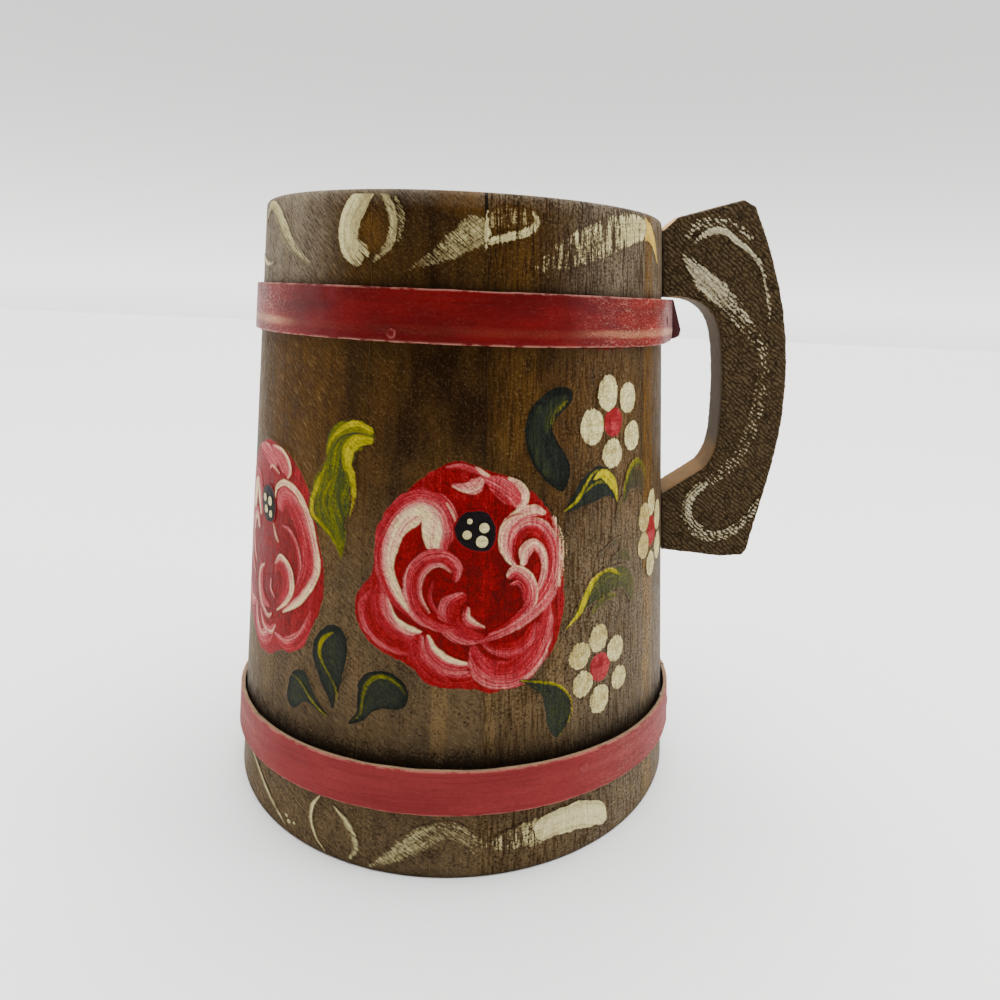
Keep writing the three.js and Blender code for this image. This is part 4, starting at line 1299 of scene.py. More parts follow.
sideRose = {
    "ground": [(-160, 113.2), (-155, 112.2), (-150, 109.8), (-145.5, 106), (-142.6, 101.4), (-140.6, 96),
               (-139, 90.4), (-137.2, 84.6), (-136.4, 78.6), (-137.4, 72), (-140, 66), (-143.2, 60),
               (-147, 56.8), (-152.4, 55), (-158, 51.6), (-163.4, 50.2), (-168.6, 51.6), (-173, 54.6),
               (-178, 56.4), (-183.6, 59.4), (-187.4, 64.4), (-189.4, 70.6), (-190, 77.4), (-189, 84.4),
               (-187, 91.4), (-184.6, 98.4), (-181, 104.4), (-176, 108.8), (-170, 112), (-165, 113.3)],
    "centre": (-163, 82),
    "strokes": [
        ([(-141, 70, 0.4), (-142.4, 64.8, 1.6), (-146, 60, 2.2), (-151, 57.4, 2.0), (-156.6, 58.4, 0.5)],
         0.3, 0.46, {}),
        ([(-157, 60.6, 0.6), (-161, 56, 2.2), (-166, 54.4, 2.0), (-170, 58, 1.5),
          (-171, 63, 0.4)], 0.42, 0.6, {}),
        ([(-167, 62.4, 0.3), (-163.6, 58.8, 1.1), (-159, 58.6, 1.0), (-156.6, 61, 0.3)], 0.35, 0.66, {}),
        ([(-172, 63, 0.6), (-177, 61.4, 2.2), (-182, 64.6, 2.6), (-185, 71, 2.4), (-185.6, 78, 1.4),
          (-184, 84, 0.3)], 0.4, 0.55, {}),
        ([(-156.2, 96, 2.4), (-154.4, 99, 3.0), (-149.6, 98, 3.4), (-145.2, 93, 3.2), (-142.6, 86, 3.0),
          (-142.8, 79.6, 2.7), (-146.2, 73.6, 2.2), (-150.6, 69.6, 1.4), (-154.6, 66.4, 0.4)],
         0.44, 0.26, {"edge": 0.55}),
        ([(-159.6, 97.4, 0.2), (-158.4, 101, 0.7), (-153.6, 103, 0.8), (-147.6, 101, 0.9),
          (-142.9, 95.6, 0.9),
          (-140.6, 89.4, 0.9), (-139.2, 83.6, 1.1), (-140.6, 78.6, 1.1), (-144.2, 73.4, 1.1),
          (-148.6, 69.4, 0.9), (-152.8, 66.4, 0.3)], 1.0, 0.86, {}),
        ([(-160, 90, 0.2), (-158.2, 87, 0.5), (-156.6, 85.6, 0.2)], 0.9, 0.8, {}),
        ([(-154.6, 90.8, 0.2), (-151, 90.2, 0.6), (-147.6, 87, 0.7), (-146, 82, 0.6), (-146.6, 76.6, 0.2)],
         0.72, 0.4, {}),
        ([(-157.4, 76.6, 0.6), (-155.6, 79.4, 1.6), (-152.4, 77.6, 1.8), (-152, 73, 1.6),
          (-155, 68.6, 0.8)],
         0.4, 0.2, {}),
        ([(-157.8, 79, 0.3), (-155.2, 81.6, 0.8), (-151.6, 80.6, 0.9), (-149.4, 77, 1.2),
          (-149.4, 72.8, 0.9),
          (-152.2, 69, 0.6), (-156, 65.8, 0.2)], 0.98, 0.8, {}),
        ([(-164.6, 76.4, 0.3), (-167.4, 74.4, 1.6), (-167.4, 69.6, 1.9), (-164.8, 66, 1.6),
          (-160.6, 65.4, 0.5)],
         0.3, 0.56, {}),
        ([(-164.8, 76.6, 0.2), (-168.4, 73.6, 0.6), (-168.8, 68.4, 0.7), (-165.8, 64, 0.8),
          (-161.2, 62.3, 0.7),
          (-159, 63.6, 0.2)], 0.7, 0.9, {}),
        ([(-160, 74, 0.2), (-160.2, 71, 0.5), (-157.6, 68.8, 0.3)], 0.66, 0.6, {}),
        # petals on the far side of the seed
        ([(-169.6, 91, 1.4), (-171.4, 96, 2.8), (-174.6, 99.4, 3.2), (-179, 97.6, 3.0), (-182.6, 91.6, 2.7),
          (-184, 85, 2.4), (-182.4, 78.4, 1.8), (-177.6, 73, 1.1), (-172.8, 70.4, 0.3)],
         0.98, 0.4, {"edge": 0.55, "fade": 0.2}),
        ([(-174.6, 99.8, 0.6), (-177.4, 97, 2.2), (-178.4, 92.6, 2.4), (-177, 88.4, 0.8)], 1.0, 0.96, {}),
        ([(-171, 86.6, 1.2), (-173.4, 89.4, 1.8), (-177.4, 88, 2.0), (-178.8, 83, 1.7), (-176.4, 78, 1.2),
          (-172.6, 75, 0.4)], 0.85, 0.45, {}),
        ([(-172.8, 110.2, 0.6), (-168, 109.6, 2.2), (-163.6, 108.6, 2.6),
          (-160, 106.6, 1.4)], 0.56, 0.4, {}),
        ([(-162.6, 111.6, 0.6), (-157.6, 109.6, 2.4), (-154, 107, 2.0), (-152.8, 105, 0.6)], 0.5, 0.42, {}),
        ([(-161.6, 112, 0.2), (-156.6, 111.6, 0.5), (-152.8, 109.2, 0.7), (-151.8, 106.4, 0.7),
          (-152.8, 104.6, 0.2)], 0.95, 0.8, {}),
        ([(-163.6, 105.2, 0.15), (-161.6, 106.2, 0.4), (-157.4, 104.9, 0.2)], 0.8, 0.7, {}),
    ],
    "seed": [(-164, 100.3), (-161, 99.6), (-159.2, 96.6), (-158.9, 93.2), (-160.4, 90.6), (-163.4, 89.8),
             (-166.6, 91), (-168.7, 93.8), (-168.8, 97), (-166.8, 99.6)],
    "seedCentre": (-163.8, 95),
    "dots": [(-166, 96.3, 1.15), (-162.2, 96, 1.35), (-164.7, 93.2, 1.2), (-161.4, 92.5, 1.05)],
}


def paintRose(rose, name, seed, mirror):
    sheet = newSheet(seed, mirror)
    fill(sheet, rose["ground"], rose["centre"], 0.08, 0.17)
    paintStrokes(sheet, rose["strokes"])
    paintedPiece(sheet, name, rosePaint, "red_paint")


for mirror, side in ((False, "near"), (True, "far")):
    paintRose(frontRose, f"rose_front_{side}", 11 + mirror, mirror)
    paintRose(sideRose, f"rose_side_{side}", 13 + mirror, mirror)


# Red that ran past the edges of the upper strap

def paintSmears():
    sheet = newSheet(17)
    for start, end, height in ((-192, -168, 142.5), (-72, -44, 142.4), (60, 84, 142.5), (120, 134, 142.6)):
        middle = (start + end) / 2
        sweep(sheet, [(start, height + 0.3, 0.1), (middle, height, 0.4), (end, height + 0.3, 0.1)], 0.0,
              dry=[0.4, 0.25, 0.45], ragged=0.7)
    paintedPiece(sheet, "strap_paint_smears", rosePaint, "red_paint")


paintSmears()
print("roses painted")


# Leaves: filled bodies, then veins and lights

leaves = {
    "bodies": [
        # outline, centre, shade, rim shade
        ([(-69.6, 132.2), (-73.5, 133.2), (-77.6, 131.6), (-81.4, 128.4), (-83.2, 124), (-83, 119),
          (-81, 114),
          (-77.8, 110), (-74.6, 107.4), (-72.2, 106.4), (-70.2, 109.4), (-70.1, 113), (-71.8, 116.4),
          (-74.2, 119.6), (-75.4, 122.6), (-74.4, 125.4), (-71.8, 127.6), (-69.6, 129.6)],
          (-79, 121.5), 0.14, 0.02),
        ([(-133, 68.4), (-130.3, 67.4), (-128.7, 64), (-129, 59), (-130, 54), (-131, 49.5), (-132.4, 44.8),
          (-134.4, 48), (-137, 52), (-139.2, 56), (-139.8, 60), (-138.6, 64), (-136, 67)],
          (-134, 58), 0.26, 0.08),
        ([(-149, 46), (-148, 49.6), (-145, 52), (-142, 52), (-140, 49), (-137.6, 45.6), (-134, 41.6),
          (-138.4, 43), (-142, 43.6), (-145, 40.8), (-147.4, 40), (-149.4, 42.6)],
          (-143.6, 46.6), 0.28, 0.12),
        ([(-119, 58.4), (-123, 57), (-125, 53.6), (-125.2, 49), (-125.4, 45.6), (-127.8, 41.6),
          (-123.4, 43.8),
          (-121, 46.6), (-118, 48), (-114, 48.4), (-112, 50.4), (-111.6, 53), (-113, 56), (-115.6, 58)],
         (-120, 51.6), 0.27, 0.06),
        ([(-82.8, 56.2), (-78, 52.6), (-76.6, 47), (-75.8, 42), (-74, 38.6), (-72, 38.2), (-69.6, 42),
          (-68.8, 46.6), (-70.6, 51), (-74, 54), (-79, 56)], (-73.4, 47.6), 0.30, 0.24),
        ([(-71.5, 101), (-68.6, 105.6), (-66, 109), (-62, 111.6), (-59, 112), (-55, 109.6), (-52.6, 106),
          (-52.3, 101.6), (-55, 103), (-58, 103.4), (-61, 102.6), (-65, 102), (-68, 101.2)],
          (-60.6, 106), 0.2, 0.14),
    ],
    "strokes": [
        # crescent above the daisy
        ([(-78.6, 128, 1.2), (-80.6, 122, 1.6), (-79, 115.6, 1.7), (-75.6, 110.6, 1.2)], 0.30, 0.36,
         {"dry": [0.4, 0.34, 0.4]}),
        ([(-71.6, 130.6, 0.5), (-75, 128.8, 1.7), (-77.4, 125.6, 1.5), (-77.2, 121.8, 0.6)], 0.44, 0.30,
         {"dry": [0.2, 0.3, 0.45]}),
        ([(-71.2, 129.6, 0.2), (-74.2, 127.4, 0.5), (-75.9, 124.8, 0.4), (-75.8, 122.4, 0.1)], 0.66, 0.56,
         {"dry": [0.2, 0.35, 0.5]}),
        # wavy leaf between the roses: body, then its lights
        ([(-123.4, 119.6, 1.2), (-127, 119.4, 3.6), (-131.6, 117, 4.8), (-132.8, 112.4, 4.6),
          (-133.6, 107.6, 5.4),
          (-135.4, 102, 6.6), (-134.6, 97.4, 5.4), (-132.6, 93, 2.8), (-131.4, 89.4, 0.9),
          (-131.6, 86.8, 0.1)],
         0.50, 0.58, {"ragged": 0.16}),
        ([(-123.6, 120.4, 1.1), (-127.6, 121.4, 1.7), (-132, 120, 1.4), (-135.6, 117.2, 0.8),
          (-137.2, 113.6, 0.3)],
         0.74, 0.88, {"dry": [0.0, 0.0, 0.1, 0.3]}),
        ([(-123.4, 118.4, 0.8), (-127.2, 118.2, 1.7), (-130.2, 115.6, 1.8), (-130.4, 112, 1.5),
          (-128.8, 108.4, 1.1), (-128.2, 103.4, 0.7), (-129.2, 98.4, 0.2)], 0.97, 0.80,
         {"dry": [0.0, 0.0, 0.05, 0.2, 0.35]}),
        ([(-123.4, 119.5, 0.05), (-128, 119.9, 0.22), (-132.6, 118.4, 0.15),
          (-135, 115.4, 0.02)], 0.26, 0.3,
         {}),
        ([(-137.4, 110.2, 0.2), (-140.2, 105.2, 0.8), (-142, 100.4, 0.8), (-141.6, 97, 0.8),
          (-138.4, 95, 0.5),
          (-134.6, 92.2, 0.3), (-131.8, 88, 0.1)], 0.72, 0.92, {"dry": [0.2, 0.05, 0.1]}),
        ([(-133.6, 108.8, 0.2), (-137, 104.6, 0.5), (-138, 100.4, 0.4), (-135.6, 96.8, 0.1)], 0.74, 0.6,
         {"dry": 0.2}),
        ([(-131.8, 107.8, 0.1), (-133, 103, 0.4), (-131, 97.4, 0.3), (-131.2, 92.6, 0.1)], 0.30, 0.4,
         {"dry": 0.2}),
        # veins of the dark leaves
        ([(-133, 66.4, 0.1), (-136.2, 63.8, 0.6), (-137.4, 60, 0.5), (-136, 56.6, 0.35), (-133, 53, 0.25),
          (-131.3, 49, 0.3), (-131.6, 46.4, 0.05)], 0.82, 0.70, {"dry": [0.0, 0.05, 0.3, 0.3]}),
        ([(-147.8, 49.7, 0.05), (-145, 49.4, 0.3), (-142, 47.4, 0.3), (-139, 44.6, 0.35),
          (-134.2, 41.8, 0.1)],
         0.60, 0.86, {"dry": [0.3, 0.2, 0.0]}),
        ([(-112.4, 53, 0.1), (-115, 56, 0.4), (-119, 57.1, 0.6), (-122.4, 54.6, 0.55), (-123.7, 50.4, 0.4),
          (-124.3, 45.6, 0.25), (-126.6, 42.8, 0.05)], 0.68, 0.60, {"dry": [0.2, 0.1, 0.1, 0.3]}),
        ([(-83.4, 56.4, 0.1), (-77.4, 55, 0.3), (-73.2, 53.4, 0.35), (-70, 50.2, 0.3), (-68.6, 46, 0.25),
          (-69.8, 41.6, 0.2), (-72.2, 38.6, 0.05)], 0.80, 0.68, {"dry": [0.0, 0.1, 0.25]}),
        # yellow leaf under the upper daisy
        ([(-71.8, 101, 0.1), (-67.8, 103.4, 0.5), (-65.2, 106.8, 0.5), (-62.6, 109.8, 0.3),
          (-60, 111, 0.1)],
         0.92, 0.70, {"dry": [0.0, 0.1, 0.3]}),
        ([(-66.4, 104.6, 0.05), (-63.2, 106.6, 0.3), (-60, 107.6, 0.35), (-57, 107, 0.1)], 0.74, 0.6,
         {"dry": 0.15}),
        ([(-62, 108.6, 0.2), (-59, 109.8, 1.2), (-55.6, 107.7, 1.6), (-53.4, 104.4, 0.9),
          (-52.7, 101.2, 0.1)],
         1.06, 0.98, {}),
        ([(-49.4, 100.6, 0.7), (-48, 104.8, 2.0), (-44.6, 106.4, 2.9), (-40.8, 105.2, 2.4),
          (-38.6, 101.4, 0.6)],
         0.34, 0.28, {"dry": [0.26, 0.20, 0.24, 0.4]}),
        ([(-50, 99.6, 0.2), (-48.6, 105.6, 0.9), (-45.8, 109.6, 1.2), (-42, 110.8, 1.1),
          (-38.8, 108.8, 0.9),
          (-36.8, 104.6, 0.2)], 0.70, 0.60, {"dry": [0.36, 0.12, 0.12, 0.3]}),
        # rubbed leaf on the right
        ([(-67.6, 72, 0.8), (-63, 76.6, 2.6), (-57.4, 79, 3.4), (-51.4, 79.4, 3.2), (-46.8, 76.2, 2.6),
          (-45, 70.4, 0.8)], 0.46, 0.42, {"dry": [0.20, 0.12, 0.14, 0.22, 0.36]}),
        ([(-62.6, 71.2, 0.4), (-57.6, 74.6, 1.2), (-52.6, 74.4, 0.5)], 0.58, 0.50, {"dry": 0.22}),
        ([(-54.6, 84.8, 0.4), (-49.6, 85.6, 1.6), (-46.2, 83.2, 0.8)], 0.42, 0.36, {"dry": 0.28}),
        ([(-70.7, 68.9, 0.1), (-66.8, 72.2, 0.7), (-64.4, 76.6, 0.9), (-62, 80.4, 0.8), (-58, 82.4, 0.5),
          (-54.6, 82.1, 0.6), (-51.4, 80, 0.2)], 0.94, 0.84, {"dry": [0.0, 0.0, 0.08, 0.15]}),
        ([(-60, 86.8, 0.4), (-54, 89.4, 1.0), (-48.6, 90.4, 0.4)], 0.32, 0.3, {"dry": 0.46}),
        ([(-53, 96.4, 0.3), (-51, 100.2, 0.9), (-49, 103.4, 0.3)], 0.5, 0.45, {"dry": 0.45}),
    ],
}


def paintLeaves(name, seed, mirror):
    sheet = newSheet(seed, mirror)
    for outline, centre, shade, rimShade in leaves["bodies"]:
        fill(sheet, outline, centre, shade, rimShade)
    paintStrokes(sheet, leaves["strokes"])
    paintedPiece(sheet, name, leafPaint, "green_paint")


paintLeaves("leaves_near", 21, False)
paintLeaves("leaves_far", 22, True)
print("leaves painted")


# Seeds of the roses: black, drawn over the strokes

seedPaint = paintMaterial("seedPaint", [
    (0.0, (0.003, 0.003, 0.0035)), (0.5, (0.010, 0.009, 0.010)), (0.9, (0.22, 0.002, 0.004)),
    (1.0, (0.22, 0.002, 0.004)),
], {"bristles": 1500, "pull": 0.08, "mottle": 0.12, "speck": 0.05, "grain": 0.3, "thin": 0.9,
    "gloss": (0.35, 0.5)})


def paintSeeds():
    sheet = newSheet(31)
    sheet["layer"] = 31  # above the last rose stroke
    for mirror in (False, True):
        sheet["mirror"] = mirror
        for rose in (frontRose, sideRose):
            fill(sheet, rose["seed"], rose["seedCentre"], 0.12, ragged=0.4, dry=0.06, under=1.0)
    paintedPiece(sheet, "rose_seeds", seedPaint, "green_paint")


paintSeeds()


# Dots and petals: one bead of paint, copied on to points by Geometry Nodes

daisies = {
    # round, height, half width, half height, tint
    "petals": [(-56.7, 131, 4.1, 4.8, 0.0), (-47.7, 129.3, 4.0, 4.2, 0.02), (-45.5, 118.6, 4.0, 4.1, 0.0),
               (-54.7, 114.8, 4.1, 4.0, -0.05), (-62.6, 122.5, 4.2, 4.8, -0.03),
               (-59.6, 63.5, 3.5, 4.0, -0.18), (-52.9, 58.3, 3.5, 3.9, -0.08), (-51.3, 49, 3.2, 3.6, -0.1),
               (-59.1, 45.2, 3.5, 4.3, -0.1), (-65, 51.5, 3.4, 3.8, -0.14), (-66.2, 60, 3.5, 3.8, -0.2),
               (-37.3, 93.4, 3.9, 4.3, -0.36), (-31.3, 96.8, 3.4, 4.0, -0.1),
               (-24.8, 91.2, 4.0, 4.8, -0.05),
               (-24.6, 81.6, 4.0, 4.4, -0.05), (-32.3, 78, 3.5, 3.9, -0.1), (-37.7, 85, 3.8, 4.0, -0.34)],
    "hearts": [(-54.5, 123.2, 3.9, 4.0, 0.0), (-59, 54.8, 3.8, 4.3, 0.1), (-31.5, 88, 4.4, 4.6, 0.0)],
    "heartLift": 0.09,
    "petalLift": 0.12,
    "bead": 0.14,
    "ragged": 1.1,
    "footDots": [(-147.6, 5.6, 0.55, 0.5, 0.0), (-146.6, 4.2, 0.7, 0.6, 0.0), (-144.4, 4.8, 0.4, 0.4, 0.0)],
}


def beadShape(crisp):
    around, rings = 36, 8
    out = 1.0 if crisp else 1.09  # the film's margin, on a petal of common size
    reach = np.linspace(0, out, rings + 1)[1:]
    turn = np.linspace(0, 2 * math.pi, around, endpoint=False)
    places = [(0, 0, 1)]
    for r in reach:
        places += [(r * math.cos(a), r * math.sin(a), math.sqrt(max(0, 1 - (r / out) ** 2))) for a in turn]
    faces = [(0, 1 + i, 1 + (i + 1) % around) for i in range(around)]
    faces += gridFaces(rings, around, closed=True, start=1)
    inset = np.concatenate([[out], np.repeat(out - reach, around)])
    cover = np.ones(len(places)) if crisp else np.clip(inset / 0.18, 0, 1) * 0.84
    marks = {"shade": np.full(len(places), 0.86), "cover": cover, "under": np.full(len(places), bare),
             "dry": np.full(len(places), 0.0 if crisp else 0.62)}
    stroke = np.array(places)[:, :2] * 4 * mm
    return newPiece("bead", places, faces, marks, {"stroke": stroke})


def addBeads(name, spots, lift, material, slotName, seed, ragged, crisp=False):
    spots = np.array(spots)
    marks = woodMarks(spots[:, 0], spots[:, 1])
    marks["tint"] = spots[:, 4]
    marks["size"] = np.column_stack([spots[:, 2:4], np.full(len(spots), daisies["bead"])]) * mm
    places = np.column_stack([spots[:, :2], np.full(len(spots), lift)])
    piece = newPiece(name, places * mm, [], marks)
    shape = beadShape(crisp)
    runTree(piece, copiesRoundTaper, material, Shape=shape, Ragged=ragged * mm, Seed=float(seed))
    bpy.data.objects.remove(shape)
    smoothed(piece, 80)
    return seat(piece, slotName)


def bothSides(spots):
    return [*spots, *mirroredPoints(spots, True)]


heartPaint = paintMaterial("heartPaint", [
    (0.0, (0.10, 0.001, 0.002)), (0.75, (0.17, 0.003, 0.006)), (0.95, (0.215, 0.009, 0.013)),
    (1.0, (0.27, 0.025, 0.03)),
], {"bristles": 600, "pull": 0.12, "mottle": 0.18, "speck": 0.05, "grain": 0.3, "thin": 0.9,
    "gloss": (0.35, 0.5)})
petalPaint = paintMaterial("petalPaint", [
    (0.0, (0.14, 0.090, 0.030)), (0.5, (0.33, 0.240, 0.075)), (0.8, (0.42, 0.365, 0.155)),
    (1.0, (0.62, 0.55, 0.27)),
], {"bristles": 900, "pull": 0.10, "mottle": 0.20, "speck": 0.30, "grain": 0.24, "thin": 0.72,
    "gloss": (0.5, 0.7)})
roseDots = [(u, z, r, r, 0.0) for rose in (frontRose, sideRose) for u, z, r in rose["dots"]]
addBeads("daisy_hearts", bothSides(daisies["hearts"]), daisies["heartLift"], heartPaint, "red_paint", 3,
         daisies["ragged"])
addBeads("daisy_petals", bothSides(daisies["petals"]), daisies["petalLift"], petalPaint, "cream_paint", 4,
         daisies["ragged"])
addBeads("cream_dots", bothSides(roseDots), 0.45, creamPaint, "cream_paint", 5, 0.15, crisp=True)
print("daisies and dots painted")


# Cream strokes above the upper strap and below the lower one

creamStrokes = [
    ([(-180, 171.4, 0.3), (-175.6, 174.6, 0.8), (-171.4, 175.8, 1.3), (-166.4, 174, 1.5),
      (-162, 170.8, 1.6),
      (-157.4, 166.8, 1.4), (-151.4, 162.8, 0.8),
      (-146, 160.6, 0.2)], 0.9, 0.6, {"dry": [0.2, 0.1, 0.12, 0.26, 0.5]}),
    ([(-168, 172.6, 0.5), (-162, 167.4, 0.8), (-156.4, 163.4, 0.4)], 0.5, 0.5, {"dry": 0.42}),
    ([(-197, 161, 0.5), (-189, 162.6, 0.9), (-182, 162.2, 0.8), (-175, 160.6, 0.6),
      (-168, 160.8, 0.2)], 0.9, 0.8,
     {"dry": [0.05, 0.02, 0.1, 0.3]}),
    ([(-126.4, 178, 1.9), (-129.6, 174.6, 2.8), (-132.2, 170.6, 3.3), (-132.4, 166.2, 3.1),
      (-130.6, 163, 2.7),
      (-128.8, 161.4, 1.8)], 0.64, 0.86, {"dry": [0.0, 0.0, 0.02, 0.05, 0.3]}),
    ([(-130.4, 165.8, 0.6), (-127.8, 164.4, 1.1), (-126.2, 162.8, 0.7)], 0.8, 0.8, {"dry": [0.1, 0.3]}),
    ([(-123, 178, 0.9), (-120.2, 173.8, 1.2), (-119, 169.4, 1.3), (-120.4, 165.2, 1.2),
      (-124.4, 161.6, 0.5)],
     0.45, 0.72, {"dry": [0.12, 0.18, 0.22, 0.38]}),
    ([(-118.6, 176, 0.5), (-117, 171.4, 1.0), (-117.6, 166.4, 0.5)], 0.5, 0.5, {"dry": 0.45}),
    ([(-114, 160, 0.2), (-107, 163.4, 1.9), (-101, 166.8, 3.3), (-96.6, 169.2, 3.7),
      (-95.6, 169.8, 3.4)], 0.58, 0.62,
     {"dry": [0.72, 0.56, 0.42, 0.36, 0.34]}),
    ([(-94.4, 173.8, 0.3), (-94.2, 169, 0.55), (-94.7, 165, 0.2)], 0.85, 0.8, {"dry": [0.2, 0.05, 0.3]}),
    ([(-93.8, 166.8, 0.8), (-88.6, 168.1, 1.1), (-83.6, 169.6, 1.0), (-81, 172, 1.0),
      (-82.6, 174.4, 0.4)], 0.76, 0.80,
     {"dry": [0.30, 0.16, 0.22, 0.34, 0.5]}),
    ([(-94, 171.4, 1.4), (-89.6, 172.6, 2.4), (-84.6, 172.8, 2.0), (-82.2, 172.2, 0.6)], 0.55, 0.5,
     {"dry": [0.72, 0.70, 0.72]}),
    ([(-81, 161.4, 0.8), (-74, 164.2, 3.0), (-67.6, 166.8, 4.0), (-61, 169, 4.3),
      (-54.6, 171, 4.4)], 0.85, 0.8,
     {"dry": [0.86, 0.76, 0.66, 0.58, 0.50]}),
    ([(-55.4, 171.2, 4.0), (-50, 172.4, 4.1), (-44.6, 173.2, 3.6), (-39, 173.6, 2.9)], 0.92, 0.86,
     {"dry": [0.44, 0.36, 0.26, 0.16]}),
    ([(-171.4, 16, 0.3), (-163.6, 12, 0.8), (-155.6, 7, 0.7),
      (-148, 2.6, 0.2)], 0.85, 0.75, {"dry": [0.25, 0.12, 0.3]}),
    ([(-135.6, 17.6, 0.2), (-138, 13.6, 0.55), (-138.3, 9, 0.5), (-136.4, 4.4, 0.3),
      (-133.4, 1.4, 0.1)], 0.9, 0.85,
     {"dry": [0.0, 0.05, 0.1]}),
    ([(-131.2, 16.2, 0.2), (-127.4, 12.8, 0.8), (-125.2, 9.2, 0.8), (-124.6, 5, 0.8),
      (-126.4, 1.4, 0.3)], 0.8, 0.75,
     {"dry": [0.1, 0.12, 0.3, 0.36]}),
    ([(-120.6, 1.2, 0.2), (-115.4, 5.0, 1.8), (-110.4, 9.4, 3.0), (-105, 13.6, 2.8),
      (-99.4, 15.6, 1.8)], 0.8, 0.75,
     {"dry": [0.44, 0.42, 0.40, 0.5, 0.62]}),
    ([(-103, 15.6, 1.4), (-97.6, 13.4, 2.2), (-93.2, 9.8, 1.6)], 0.75, 0.7, {"dry": [0.62, 0.64, 0.62]}),
    ([(-96.2, 8, 0.4), (-91, 9.2, 1.4), (-85.6, 10, 3.0), (-80.6, 10.8, 3.8), (-76, 11.4, 4.1)], 0.85, 0.8,
     {"dry": [0.74, 0.64, 0.56, 0.46, 0.30]}),
    ([(-77, 11.4, 3.8), (-71, 12, 4.2), (-64.6, 11.4, 4.2), (-59.6, 8.8, 3.4), (-57, 5.8, 1.2)], 0.96, 0.88,
     {"dry": [0.10, 0.0, 0.0, 0.0]}),
]
yellowedStroke = ([(-38.8, 173.7, 2.9), (-34.4, 172.8, 2.5), (-30, 170.2, 1.5), (-26, 165.4, 0.3)],
                  0.9, 0.8, {})


def paintCream(name, seed, mirror):
    sheet = newSheet(seed, mirror)
    for points, left, right, more in creamStrokes:
        sweep(sheet, points, left, right, **more)
    paintedPiece(sheet, name, creamPaint, "cream_paint")
    points, left, right, more = yellowedStroke
    sheet = newSheet(seed + 5, mirror)
    sweep(sheet, points, left, right, **more)
    paintedPiece(sheet, name + "_yellowed", yellowedPaint, "cream_paint")


yellowedPaint = paintMaterial("yellowedPaint", [(0.0, (0.20, 0.10, 0.012)), (1.0, (0.47, 0.31, 0.06))],
                              {"bristles": 1500, "pull": 0.12, "mottle": 0.1, "speck": 0.1,
                               "grain": 0.2, "thin": 0.8, "gloss": (0.45, 0.6)})
paintCream("cream_strokes_near", 41, False)
paintCream("cream_strokes_far", 42, True)
addBeads("foot_dots", bothSides(daisies["footDots"]), 0.08, creamPaint, "cream_paint", 6, 0.3, crisp=True)
print("cream strokes painted")


# Handle: the CAD outline, meshed finely. The marks of the saw are rows of short steps, slanting down to
# the right, in the surface's flat map (distance from the axis of the body, height)

handle = {
    "voxel": 0.5,
    "thickness": 15.6,
    "sawTurn": 38.0,
    "sawPitch": 1.15,
    "sawStep": 1.25,
    "sawWander": 2.6,
    "relief": 0.6,
    "edgeDepth": 0.10,
    "rimDepth": 0.32,
    "dark": (0.013, 0.0078, 0.0034),
    "light": (0.112, 0.076, 0.037),
    "brown": (0.052, 0.028, 0.010),
    "narrow": (0.160, 0.122, 0.084),
    "narrowDark": (0.102, 0.074, 0.046),
    "bare": (0.26, 0.150, 0.062),
    "rootBare": (0.58, 0.36, 0.16),
}
handlePlane = (Matrix.Translation((axis["x"], axis["y"] - handle["thickness"] / 2 * mm, 0))
               @ Matrix(((1, 0, 0, 0), (0, 0, -1, 0), (0, 1, 0, 0), (0, 0, 0, 1))))


def sawnSurface(tree):
    flat = onMap(tree)
    spun = put(tree, "ShaderNodeSeparateXYZ", {0: turned(tree, flat, (1, 1, 1), handle["sawTurn"])})
    along, across = spun.outputs["X"], spun.outputs["Y"]
    warp = noiseAt(tree, flat, 220, 3)
    phase = timesPlus(tree, across, 1 / (handle["sawPitch"] * mm), times(tree, warp, handle["sawWander"]))
    row = timesPlus(tree, calc(tree, "COSINE", times(tree, phase, 2 * math.pi)), -0.5, 0.5)
    cell = {"X": calc(tree, "DIVIDE", along, handle["sawStep"] * mm),
            "Y": times(tree, calc(tree, "FLOOR", phase), 5.3)}
    step = noiseAt(tree, put(tree, "ShaderNodeCombineXYZ", cell).outputs[0], 1.0, 1, 0.5)
    fleck = noiseAt(tree, flat, 1900, 2, 0.7)
    broad = noiseAt(tree, flat, 260, 3, 0.6)
    ridge = times(tree, row, spread(tree, step, 0.38, 0.60, 0.12, 1.0))
    ridge = timesPlus(tree, spread(tree, fleck, 0.3, 0.7), 0.50, times(tree, ridge, 0.66))
    ridge = calc(tree, "ADD", ridge, spread(tree, broad, 0.3, 0.7, -0.08, 0.08))
    color = blend(tree, spread(tree, ridge, 0.16, 0.82), handle["dark"], handle["light"])
    color = blend(tree, spread(tree, broad, 0.4, 0.7, 0.0, 0.4), color, handle["brown"])
    return {"color": color, "ridge": ridge, "rough": 0.72}


